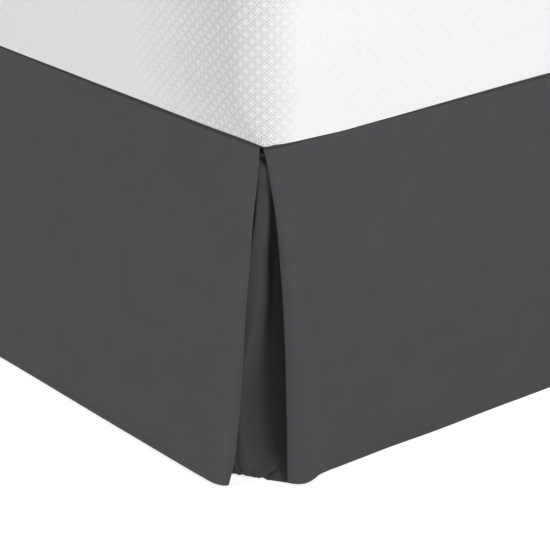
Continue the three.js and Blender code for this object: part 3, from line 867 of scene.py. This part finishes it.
# %% The inset's line at one height
INSET_REACH = 130                 # it runs this far from the corner behind each drop
INSET_GAP = 2.3                   # behind the face of the drop in front of it
INSET_HEM_GAP = {"side": 7.5, "foot": 2.5}    # and farther at the hem
INSET_SETTLE = {"side": 15, "foot": 12}    # how soon it comes to lie behind the drop, past a bend
LEG_STEPS = 16                    # points behind each drop
LEG_SPREAD = 1.5                  # above 1: they lie closer together by the bend
SLANT_STEPS = 44
LINE_POINTS = 400                 # of the line while it is pushed into shape
INSET_COLUMNS = 170               # and of the finished line


def inset_leg(bend_along, bend_in, depth_at, side, height):
    """The run behind one drop: its places along the drop, and its depths behind the bed's wall."""
    shares = (1 - np.arange(LEG_STEPS) / LEG_STEPS) ** LEG_SPREAD
    along = bend_along + (INSET_REACH - bend_along) * shares
    rest = depth_at(along, height) + INSET_GAP + INSET_HEM_GAP[side] * (1 - height / DROP)
    return along, rest + (bend_in - rest) * np.exp(-(along - bend_along) / INSET_SETTLE[side])


def inset_plan(height):
    """The inset's outer face at one height, from behind the foot drop to behind the side drop.

    Each point is its place on plan and its height above the hem.
    """
    bends = {name: float(column(INSET_BENDS, name, height)) for name in INSET_BENDS}
    foot_leg = inset_leg(bends["foot_along"], bends["foot_in"], foot_depth, "foot", height)
    side_leg = inset_leg(bends["side_along"], bends["side_in"], side_depth, "side", height)
    foot_leg = np.stack(foot_leg, axis=1)
    side_leg = np.stack(side_leg[::-1], axis=1)
    foot_bend = np.array([bends["foot_along"], bends["foot_in"]])
    side_bend = np.array([bends["side_in"], bends["side_along"]])
    foot_turn = rounded_bend(foot_bend, foot_leg[-1], side_bend, bends["softness"])
    side_turn = rounded_bend(side_bend, foot_bend, side_leg[-1], bends["softness"])
    t = np.linspace(0, 1, SLANT_STEPS + 1)[1:-1, None]
    slant = foot_turn[-1] * (1 - t) + side_turn[0] * t
    line = np.concatenate([foot_leg, foot_turn, slant, side_turn, side_leg[::-1]])
    line = pushed_in(resample(line, LINE_POINTS), foot_bend, side_bend, height)
    return resample(line, INSET_COLUMNS)


inset_lines = np.array([inset_plan(height) for height in row_heights[:, 0]])
print(len(inset_lines), "level lines of", INSET_COLUMNS, "points")

# %% [markdown]
# ### The inset's top and hem
#
# At the top the cloth is tucked into the seam, with a small fold of it caught there, and at the hem
# its stitches have gathered it into puckers. Each is a soft push straight in or out, along the
# diagonal of the corner, and each pucker is listed on its own, since no two are alike.

# %% Build the corner insets
OPENING_SPAN = (30, 34)           # what happens at the top fades out at these distances on plan
TUCK = {"depth": 4.5, "from": 360.5, "over": 3.5, "lean": 0.8, "middle": 14, "ends": (-5, 4)}
SHOULDER = {"height": 352, "tall": 12, "out": 2.6}    # below the tuck the inset bulges out a little
LUMP = {"height": 370.5, "tall": 3, "out": 8.5, "at": (10.4, 14.8), "wide": 3}    # the caught fold
GATHERED = {"height": 5, "tall": 9}    # the puckers are deepest at this height
PUCKERS = [
    {"along": 68, "deep": 2.2, "wide": 2.2, "lean": 0.2},
    {"along": 60, "deep": 3.4, "wide": 1.9, "lean": 0.15},
    {"along": 53, "deep": 3.8, "wide": 2.2, "lean": 0.35},
    {"along": 45.5, "deep": 1.8, "wide": 1.6, "lean": 0.0},
    {"along": 41, "deep": 1.6, "wide": 1.4, "lean": 0.1},
    {"along": 35.5, "deep": 3.0, "wide": 2.3, "lean": -0.5},
]
INSET_HEM_SHARE = 0.7             # its hem strip is flatter than the drops' hems


def bell(shape):
    """A soft bump over the rows: 1 at the shape's height, and gone well above and below."""
    return np.exp(-(((row_heights - shape["height"]) / shape["tall"]) ** 2))


def inset_face(mirrored):
    """The outer face of an inset, as a grid of points."""
    across, along = inset_lines[..., 0], inset_lines[..., 1]
    in_corner = np.exp(-((across / OPENING_SPAN[0]) ** 4) - (along / OPENING_SPAN[1]) ** 4)
    edge = TUCK["from"] + TUCK["lean"] * np.clip(along - TUCK["middle"], *TUCK["ends"])
    tuck = TUCK["depth"] * smooth_step((row_heights - edge) / TUCK["over"]) * in_corner
    tuck = tuck - SHOULDER["out"] * bell(SHOULDER) * in_corner
    from_lump = np.linalg.norm(inset_lines[..., :2] - np.array(LUMP["at"]), axis=2) / LUMP["wide"]
    lump = LUMP["out"] * bell(LUMP) * np.exp(-(from_lump**2))
    pucker = 0
    for row in PUCKERS:
        from_trough = along - row["along"] - row["lean"] * row_heights
        pucker = pucker + row["deep"] * np.exp(-((from_trough / row["wide"]) ** 2)) * bell(GATHERED)
    inward = tuck - lump + pucker - hem_relief(row_heights) * INSET_HEM_SHARE
    plan = inset_lines[..., :2] + inward[..., None] * math.sqrt(0.5)
    return to_bed(plan[..., 0], plan[..., 1], inset_lines[..., 2], mirrored)


inset_left_face = inset_face(False)
inset_right_face = inset_face(True)
inset_left = cloth_sheet(
    "corner_inset_left_cloth", inset_left_face, thickness, (-1, -1, 0), inset_microfibre_painted)
inset_right = cloth_sheet(
    "corner_inset_right_cloth", inset_right_face, thickness, (1, -1, 0), inset_microfibre_painted)

# %% [markdown]
# ### The deck
#
# The deck is the hidden half of the skirt, held flat by the mattress. Only its edge shows, as the
# seam along the top of the drops. It could be a plain rectangle, but then its edge would stand off
# from the cloth in places. So it is a patch stretched between four boundary curves, which are the
# top rows of the drops themselves, and the seam follows every small unevenness of the cloth.

# %% Build the deck
DECK_CLOTH = 1.6
DECK_EDGE = 0.3                   # the seam's edge stands back from the foot drop's face by this
DECK_CORNER = (6.4, 4.9)          # how far its corner stands in from the bed's side and foot
CORNER_SKIP = {"foot": 3, "side": 10}    # a drop's points this near the corner are left out
DECK_STEPS = 200                  # points along each of its four sides


def patch(bottom, top, left, right):
    """A smooth patch between four boundary lines that meet at its corners."""
    s = np.linspace(0, 1, len(bottom))[None, :, None]
    t = np.linspace(0, 1, len(left))[:, None, None]
    lengthwise = (1 - t) * bottom[None] + t * top[None]
    crosswise = (1 - s) * left[:, None] + s * right[:, None]
    straight = (1 - s) * (1 - t) * bottom[0] + s * (1 - t) * bottom[-1]
    straight = straight + (1 - s) * t * top[0] + s * t * top[-1]
    return lengthwise + crosswise - straight


def side_seam(face, corner):
    """The deck's edge along one side: its corner, and then the top row of that side's drop."""
    top_row = face[-1, :, :2]
    top_row = top_row[top_row[:, 1] > corner[1] + CORNER_SKIP["side"]]
    return resample(np.concatenate([[corner], top_row]), DECK_STEPS)


corner_x, corner_y = -HALF_WIDTH + DECK_CORNER[0], FOOT_Y + DECK_CORNER[1]
left_corner, right_corner = (corner_x, corner_y), (-corner_x, corner_y)
foot_top = foot_drop_face[-1, :, :2] + [0, DECK_EDGE]
foot_top = foot_top[np.abs(foot_top[:, 0]) < abs(corner_x) - CORNER_SKIP["foot"]]
foot_line = resample(np.concatenate([[left_corner], foot_top, [right_corner]]), DECK_STEPS)
left_line = side_seam(side_left_face, left_corner)
right_line = side_seam(side_right_face, right_corner)
head_line = np.linspace(left_line[-1], right_line[-1], DECK_STEPS)
deck_plan = patch(foot_line, head_line, left_line, right_line)
deck_face = np.concatenate([deck_plan, np.full((*deck_plan.shape[:2], 1), SEAM_Z)], axis=2)
deck = cloth_sheet("deck_cloth", deck_face, DECK_CLOTH, (0, 0, 1), foot_microfibre)

# %% [markdown]
# ### Hem stitches
#
# A lockstitch shows as short threads with small gaps between them. A picture of stitches would lie
# flat on the cloth, and real ones catch the light, so each is a grain of eight faces, and one
# function lays a row of them along any line on the cloth.

# %% Stitches
STITCH_PITCH = 3.0
STITCH_LENGTH = 2.6
THREAD_WIDTH = 0.42
STITCH_LIFT = 0.12                # the thread's middle lies this far out of the cloth
SLANT = 0.7                       # an inset faces halfway between the side and the foot


def stitch_row(name, line, outward):
    """A joined mesh of stitches along a line of points, in millimetres."""
    steps = np.linalg.norm(np.diff(line, axis=0), axis=1)
    places = np.concatenate([[0], np.cumsum(steps)])
    starts = np.arange(STITCH_PITCH, places[-1] - STITCH_PITCH, STITCH_PITCH)
    points = []
    faces = []
    for start in starts:
        first, last = (
            np.array([np.interp(place, places, line[:, axis]) for axis in range(3)])
            for place in (start, start + STITCH_LENGTH))
        side = np.cross((last - first) / np.linalg.norm(last - first), outward)
        middle = (first + last) / 2
        half = THREAD_WIDTH / 2
        ring = [middle + way * half for way in (side, outward, -side, -outward)]
        base = len(points)
        points += [first, last, *ring]
        for step in range(4):
            here, there = base + 2 + step, base + 2 + (step + 1) % 4
            faces.append((base, here, there))
            faces.append((base + 1, there, here))
    return build(name, points, faces, hem_thread)


hem_row = int(np.argmin(np.abs(row_heights[:, 0] - HEM_LINE)))
stitch_lines = {
    "hem_stitches_side_left": (side_left_face, (-1.0, 0.0, 0.0)),
    "hem_stitches_side_right": (side_right_face, (1.0, 0.0, 0.0)),
    "hem_stitches_foot": (foot_drop_face, (0.0, -1.0, 0.0)),
    "hem_stitches_inset_left": (inset_left_face, (-SLANT, -SLANT, 0.0)),
    "hem_stitches_inset_right": (inset_right_face, (SLANT, -SLANT, 0.0)),
}
stitches = {}
for stitch_name, (face, outward) in stitch_lines.items():
    lifted = face[hem_row] + np.array(outward) * STITCH_LIFT
    stitches[stitch_name] = stitch_row(stitch_name, lifted, np.array(outward))

# %% [markdown]
# ## The mattress
#
# The mattress is a filled block of foam and springs in a fitted ticking. A box with a bevel would
# have the same corners all the way up, and a mattress hasn't: its weight presses the bottom edge
# out, so that the lower corners are squarer than the upper ones. So it is a stack of level
# outlines, each with its own corners.

# %% Outlines
MATTRESS_STEPS = {"corner": 26, "side": 230, "foot": 170}    # steps along each stretch


def rounded_loop(half_x, half_y, steps, head_radius, foot_radius):
    """A rounded rectangle, counter-clockwise from the end of the right side by the head."""
    arcs = []
    for quarter, (sign_x, sign_y) in enumerate(((1, 1), (-1, 1), (-1, -1), (1, -1))):
        radius = head_radius if sign_y > 0 else foot_radius
        angle = (quarter + np.linspace(0, 1, steps["corner"] + 1)) * math.pi / 2
        x = sign_x * (half_x - radius) + radius * np.cos(angle)
        y = sign_y * (half_y - radius) + radius * np.sin(angle)
        arcs.append(np.stack([x, y], axis=1))
    loop = []
    for index, arc in enumerate(arcs):
        after = arcs[(index + 1) % 4][0]
        t = np.linspace(0, 1, steps["side" if index % 2 else "foot"] + 1)[1:-1, None]
        loop += [arc, arc[-1] * (1 - t) + after * t]
    return np.concatenate(loop)


MATTRESS_LOW, MATTRESS_HIGH = box_mm("mattress")
print("mattress", np.round(MATTRESS_HIGH - MATTRESS_LOW).tolist(), "mm")

# %% [markdown]
# ### Its pressed bottom edge
#
# Where the mattress meets the skirt, its lowest edge wanders in and out by a few millimetres. Two
# short tables say how it lies over the seam on each wall near the foot corner, and the outlines
# near the bottom are moved to it.

# %% The pressed edge
# Depth of the pressed bottom edge in from the bed's wall, by distance from the foot corner.
PRESSED_SIDE = {
    "along": [0, 10, 27, 73, 137, 205, 276, 350, 427, 470, 700],
    "depth": [4, 3.8, 3.3, 1.6, 0.5, -0.2, -1.2, -2, -3.2, -3.5, -2.4],
}
PRESSED_FOOT = {
    "along": [0, 8, 16, 25, 34, 48, 72, 98, 121, 177, 235, 294, 386, 560],
    "depth": [3.6, 3, 1, -0.8, -1.9, -2.8, -4.5, -6.1, -5.4, -4.2, -2.1, -0.6, 1.0, -2],
}
PRESSED_FADE = 46                 # the pressed edge evens out within this height
WALL_FADE = {"from": 20, "over": 120}    # and one wall's edge fades out round the corner
PRESSED_END = 700                 # along the side it fades out between this distance and twice it


def pressed_out(loop, height):
    """Moves a low outline to the pressed bottom edge near the foot of the bed."""
    fade = smooth_step(1 - height / PRESSED_FADE)
    along_foot = HALF_WIDTH - np.abs(loop[:, 0])
    along_side = loop[:, 1] - FOOT_Y
    near_side = smooth_step(1 - (along_foot - WALL_FADE["from"]) / WALL_FADE["over"])
    near_foot = smooth_step(1 - (along_side - WALL_FADE["from"]) / WALL_FADE["over"])
    side_in = smooth_curve(PRESSED_SIDE["along"], PRESSED_SIDE["depth"], along_side)
    side_in = side_in - (HALF_WIDTH - MATTRESS_HIGH[0])
    foot_in = smooth_curve(PRESSED_FOOT["along"], PRESSED_FOOT["depth"], along_foot)
    foot_in = foot_in - (MATTRESS_LOW[1] - FOOT_Y)
    far = smooth_step(2 - along_side / PRESSED_END)
    move_x = -np.sign(loop[:, 0]) * side_in * near_side * far * fade
    return loop + np.stack([move_x, foot_in * near_foot * fade], axis=1)


print("the pressed edge wanders by up to", -min(PRESSED_FOOT["depth"]), "mm at the foot")

# %% [markdown]
# ### A body from outlines
#
# The stack is skinned into one closed body. The cover's pattern has to run round the corners
# without a break, so each point also gets its distance round the body. That is measured on one
# outline with even corners, or the diamonds would lean where the real corners change with height.

# %% The body builder
MATTRESS_CORNER = 50              # radius of the corners where nothing presses them


def flat_around(loop, inner):
    """Distance round the body for each point of an outline, measured at its widest.

    `inner` is the half size of the rectangle between the centres of the corners.
    """
    nearest = np.clip(loop, -inner, inner)
    out = loop - nearest
    turn = np.arctan2(out[:, 1], out[:, 0]) % (2 * math.pi)
    # The last points come back to the first direction, after a full turn.
    late = np.arange(len(loop)) > len(loop) / 2
    turn = np.where(late & (turn < 1), turn + 2 * math.pi, turn)
    # A hair is taken off, so that the last point of a corner still counts with that corner.
    side = np.ceil(turn / (math.pi / 2) - 1e-6)
    long_way, short_way = 2 * inner[1], 2 * inner[0]
    path = np.select(
        [side <= 1, side == 2, side == 3],
        [inner[0] - nearest[:, 0],
         short_way + inner[1] - nearest[:, 1],
         short_way + long_way + nearest[:, 0] + inner[0]],
        2 * short_way + long_way + nearest[:, 1] + inner[1])
    return MATTRESS_CORNER * turn + path


def stacked_body(name, loops, heights, top_rings, material):
    """A closed body through level outlines, with a ringed top and a flat bottom."""
    count = len(loops[0])
    layers = [np.column_stack([loop, np.full(count, z)]) for loop, z in zip(loops, heights)]
    layers += top_rings
    points = np.concatenate(layers)
    faces = []
    for layer in range(len(layers) - 1):
        for step in range(count):
            after = (step + 1) % count
            low, high = layer * count, (layer + 1) * count
            faces.append((low + step, low + after, high + after, high + step))
    last = (len(layers) - 1) * count
    faces.append(tuple(range(last, last + count)))
    faces.append(tuple(range(count - 1, -1, -1)))
    # Flat coordinates: round and up the sides, and plain x and y on the top and the bottom.
    inner = np.max(loops[len(loops) // 2], axis=0) - MATTRESS_CORNER
    around = np.concatenate([flat_around(loop, inner) for loop in loops])
    once_round = 4 * inner.sum() + 2 * math.pi * MATTRESS_CORNER
    uv = []
    for face in faces:
        on_side = len(face) == 4 and max(face) < len(around)
        for corner, index in enumerate(face):
            if on_side:
                wrapped = index % count == 0 and corner in (1, 2)
                uv.append((around[index] + (once_round if wrapped else 0), points[index][2]))
            else:
                uv.append((points[index][0], points[index][1]))
    return build(name, points, faces, material, uv)


# %% Build the mattress
MATTRESS_SIDES = {
    "height": [0, 0.5, 1.2, 3, 7, 22, 48, 70, 222, 230, 238, 246, 251, 254],
    "set_in": [0.9, 0.35, 0.1, 0, 0, 0, 0, 0, 0, 0.8, 3, 8, 14, 22],
    "corner": [4, 4.5, 5.5, 9, 15, 32, 48, 50, 50, 50, 50, 50, 50, 50],
}
LOW_LEVELS = [0, 0.3, 0.7, 1.4, 2.4, 4, 6.5, 10, 14, 19, 25, 32, 40, 48, 58, 72]
HIGH_LEVELS = [222, 226, 230, 234, 238, 242, 246, 249, 251.5, 253]
TOP_RINGS = 24                    # rings across the top, from the last outline to its middle
LAST_RING = {"half_x": 4, "half_y": 300, "corner": 2}
CROWN = {"fall": 1.0, "over": 40}    # the top falls away towards its edge by this

mattress_levels = np.concatenate([LOW_LEVELS, np.linspace(90, 215, 8), HIGH_LEVELS])
half_x, half_y = MATTRESS_HIGH[:2]
mattress_loops = []
for level in mattress_levels:
    set_in = float(column(MATTRESS_SIDES, "set_in", level))
    radius = float(column(MATTRESS_SIDES, "corner", level))
    loop = rounded_loop(half_x - set_in, half_y - set_in, MATTRESS_STEPS, radius, radius)
    mattress_loops.append(pressed_out(loop, level))
top_rings = []
top_set_in = MATTRESS_SIDES["set_in"][-1]
for share in np.linspace(0, 1, TOP_RINGS + 2)[1:-1]:
    ring_x = (half_x - top_set_in) * (1 - share) + LAST_RING["half_x"]
    ring_y = (half_y - top_set_in) * (1 - share) + LAST_RING["half_y"] * share
    radius = MATTRESS_CORNER * (1 - share) + LAST_RING["corner"]
    ring = rounded_loop(ring_x, ring_y, MATTRESS_STEPS, radius, radius)
    ring_z = MATTRESS_HIGH[2] - CROWN["fall"] * np.exp(-share * half_x / CROWN["over"])
    top_rings.append(np.column_stack([ring, np.full(len(ring), ring_z)]))
mattress = stacked_body(
    "mattress_body", mattress_loops, MATTRESS_LOW[2] + mattress_levels, top_rings, mattress_ticking)

# %% [markdown]
# ## The bed base
#
# The base is a wooden box covered with cloth, stapled underneath. It is hidden by the skirt except
# at the head. It is rigid, so the same stack of outlines only needs softly rounded edges and the
# thin welt that runs round its top and bottom. Its foot corners are rounder than its head corners,
# which leaves the folded insets room to hang behind the drops.

# %% Build the bed base
BASE_LOW, BASE_HIGH = box_mm("box_spring")
BASE_SIDES = {
    "height": [0, 1, 3, 6, 9, 12, 15, 20, 60, 110, 170, 206, 212, 215, 218, 221, 224, 225.8, 226.7],
    "set_in": [6, 3, 1.2, 0.6, 1.2, 0.4, 1.6, 1.5, 1.8, 2, 1.8, 1.5, 1.6, 0.4, 1.2, 0.6, 1.6, 3.4, 6],
}
BASE_STEPS = {"corner": 18, "side": 40, "foot": 30}
BASE_CORNERS = {"head": 66, "foot": 148}
BOTTOM_WELT = np.linspace(0, 22, 23)    # heights of the outlines: close together over the welts
BASE_WALL = np.linspace(30, 200, 8)
TOP_WELT = np.linspace(205, BASE_SIDES["height"][-1], 24)

base_levels = np.concatenate([BOTTOM_WELT, BASE_WALL, TOP_WELT])
base_loops = []
for level in base_levels:
    set_in = float(column(BASE_SIDES, "set_in", level))
    radii = [BASE_CORNERS[end] - set_in for end in ("head", "foot")]
    base_loops.append(rounded_loop(BASE_HIGH[0] - set_in, BASE_HIGH[1] - set_in, BASE_STEPS, *radii))
box_spring = stacked_body("box_spring_cover", base_loops, BASE_LOW[2] + base_levels, [], base_cloth)

# %% [markdown]
# ## The steel frame
#
# Rails of drawn tube carry the base, on nine turned legs with wide feet. The rails are right as
# the CAD has them, so a copy of each gets a small bevel, as drawn tube has. A leg is round, and its
# solid has flat facets, so it is turned again from its profile, with rolled edges.

# %% Build the rails and legs
TUBE_EDGE = 0.003                 # bevel of the rails, in metres
TUBE_EDGE_STEPS = 3
WELD_GAP = 0.00005                # the copied solids' points are welded within this, in metres
LEG_TURN = 40                     # facets round a leg
LEG_SHAFT = 16.0                  # its radius above the foot
LEG_SHARP = math.radians(50)      # edges that turn by more than this stay sharp
LEG_AXIS = 0.01                   # radius of the tiny ring that closes each end


def bevelled_copy(node):
    """A new piece in a rail's own place, with the soft edges of drawn tube."""
    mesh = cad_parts[node].data.copy()
    mesh.materials.clear()
    mesh.materials.append(frame_steel)
    piece = bpy.data.objects.new(f"{node}_tube", mesh)
    bpy.context.collection.objects.link(piece)
    merge = piece.modifiers.new("merge", "WELD")
    merge.merge_threshold = WELD_GAP
    bevel = piece.modifiers.new("bevel", "BEVEL")
    bevel.width = TUBE_EDGE
    bevel.segments = TUBE_EDGE_STEPS
    bevel.limit_method = "ANGLE"
    return piece


def leg_profile(foot, top):
    """Radius and height of each ring of a leg, from the middle of its foot to the middle of its top."""
    shaft = LEG_SHAFT
    under = [(LEG_AXIS, 0), (foot - 2.5, 0), (foot - 0.8, 0.8), (foot, 2.5)]
    over = [(foot, 7.5), (foot - 1.2, 9.6), (shaft + 2, 11.2), (shaft, 13.5)]
    return [*under, *over, (shaft, top - 1.2), (shaft - 1.2, top), (LEG_AXIS, top)]


def turned_leg(node):
    """A leg turned from the profile of its CAD solid."""
    low, high = box_mm(node)
    centre = (low + high) / 2
    profile = leg_profile((high[0] - low[0]) / 2, high[2])
    angle = np.linspace(0, 2 * math.pi, LEG_TURN, endpoint=False)
    points = [(centre[0] + r * math.cos(a), centre[1] + r * math.sin(a), z)
              for r, z in profile for a in angle]
    faces = []
    for ring in range(len(profile) - 1):
        for step in range(LEG_TURN):
            after = (step + 1) % LEG_TURN
            low_ring, high_ring = ring * LEG_TURN, (ring + 1) * LEG_TURN
            faces.append((low_ring + step, low_ring + after, high_ring + after, high_ring + step))
    faces.append(tuple(range(LEG_TURN - 1, -1, -1)))
    faces.append(tuple(range((len(profile) - 1) * LEG_TURN, len(profile) * LEG_TURN)))
    piece = build(f"{node}_turned", points, faces, frame_steel)
    piece.data.set_sharp_from_angle(angle=LEG_SHARP)
    return piece


rails = {name: bevelled_copy(name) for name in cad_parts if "rail" in name}
legs = {name: turned_leg(name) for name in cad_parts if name.startswith("leg_")}
print(len(rails), "rails and", len(legs), "legs")

# %% [markdown]
# ## What each piece stands for
#
# Every piece rides on the bed's one body and takes the place of its CAD node, which is hidden. The
# flat size to which each hung cloth piece is cut is printed.

# %% Ride and replace
cloth_pieces = {
    "side_drop_left": side_left,
    "side_drop_right": side_right,
    "foot_drop": foot,
    "corner_inset_left": inset_left,
    "corner_inset_right": inset_right,
    "deck": deck,
}
for node, piece in cloth_pieces.items():
    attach(piece, "root")
    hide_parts(node)
for piece in stitches.values():
    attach(piece, "root")
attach(mattress, "root")
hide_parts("mattress")
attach(box_spring, "root")
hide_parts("box_spring")
for node, piece in {**rails, **legs}.items():
    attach(piece, "root")
    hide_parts(node)
print(len(cloth_pieces), "pieces of cloth take the places of their solids")

DROP_CUT = DROP_TOP / MM          # flat sizes are in metres
SIDE_CUT = 2.01
FOOT_CUT = 1.52
INSET_CUT = 0.26

hung_sheets = [
    (side_left, (DROP_CUT, SIDE_CUT), "hem_stitches_side_left"),
    (side_right, (DROP_CUT, SIDE_CUT), "hem_stitches_side_right"),
    (foot, (DROP_CUT, FOOT_CUT), "hem_stitches_foot"),
    (inset_left, (INSET_CUT, DROP_CUT), "hem_stitches_inset_left"),
    (inset_right, (INSET_CUT, DROP_CUT), "hem_stitches_inset_right"),
]
for piece, flat, stitch_name in hung_sheets:
    print(piece.name, "is cut", [round(side, 3) for side in flat], "m")

# %% [markdown]
# ## Floor and light
#
# The bed stands on a plain white floor, lit as a product is in a studio: an even white surround,
# one large soft light in front of the foot, and a weaker one out to the left side. The foot end of
# the mattress is then the brightest face, and the hollow in the open corner falls into shade.

# %% Floor and light
FLOOR_HALF = 30 * MM
FLOOR_GLOW = 0.6                  # the white floor is lit from below as well, like a light table
SURROUND = 0.36
BED_CORNER = (-0.7, -0.9, 0.25)   # in metres

floor_points = [(-FLOOR_HALF, -FLOOR_HALF, 0), (FLOOR_HALF, -FLOOR_HALF, 0),
                (FLOOR_HALF, FLOOR_HALF, 0), (-FLOOR_HALF, FLOOR_HALF, 0)]
floor_paint, _, floor_shader = new_finish("white_studio_floor")
fill(floor_shader, {"Base Color": srgb("#d0d0d0"), "Roughness": 0.9,
                    "Emission Color": srgb("#ffffff"), "Emission Strength": FLOOR_GLOW})
floor = build("studio_floor", floor_points, [(0, 1, 2, 3)], floor_paint)


def soft_light(name, place, size, power):
    """A large square light, turned towards the corner of the bed; its place and size in metres."""
    data = bpy.data.lights.new(name, "AREA")
    data.size = size
    data.energy = power
    lamp = bpy.data.objects.new(name, data)
    lamp.location = place
    lamp.rotation_euler = (Vector(BED_CORNER) - Vector(place)).to_track_quat("-Z", "Y").to_euler()
    bpy.context.collection.objects.link(lamp)
    print(name, power, "watts")


soft_light("key_light", place=(-1.2, -5.5, 2.4), size=1.6, power=105)
soft_light("fill_light", place=(-5.1, -0.1, 2.3), size=1.8, power=38)

world = bpy.data.worlds.new("studio")
world.use_nodes = True
fill(world.node_tree.nodes["Background"], {"Color": srgb("#ffffff"), "Strength": SURROUND})
bpy.context.scene.world = world
bpy.context.scene.view_settings.view_transform = "Standard"
bpy.context.scene.view_settings.look = "Medium High Contrast"
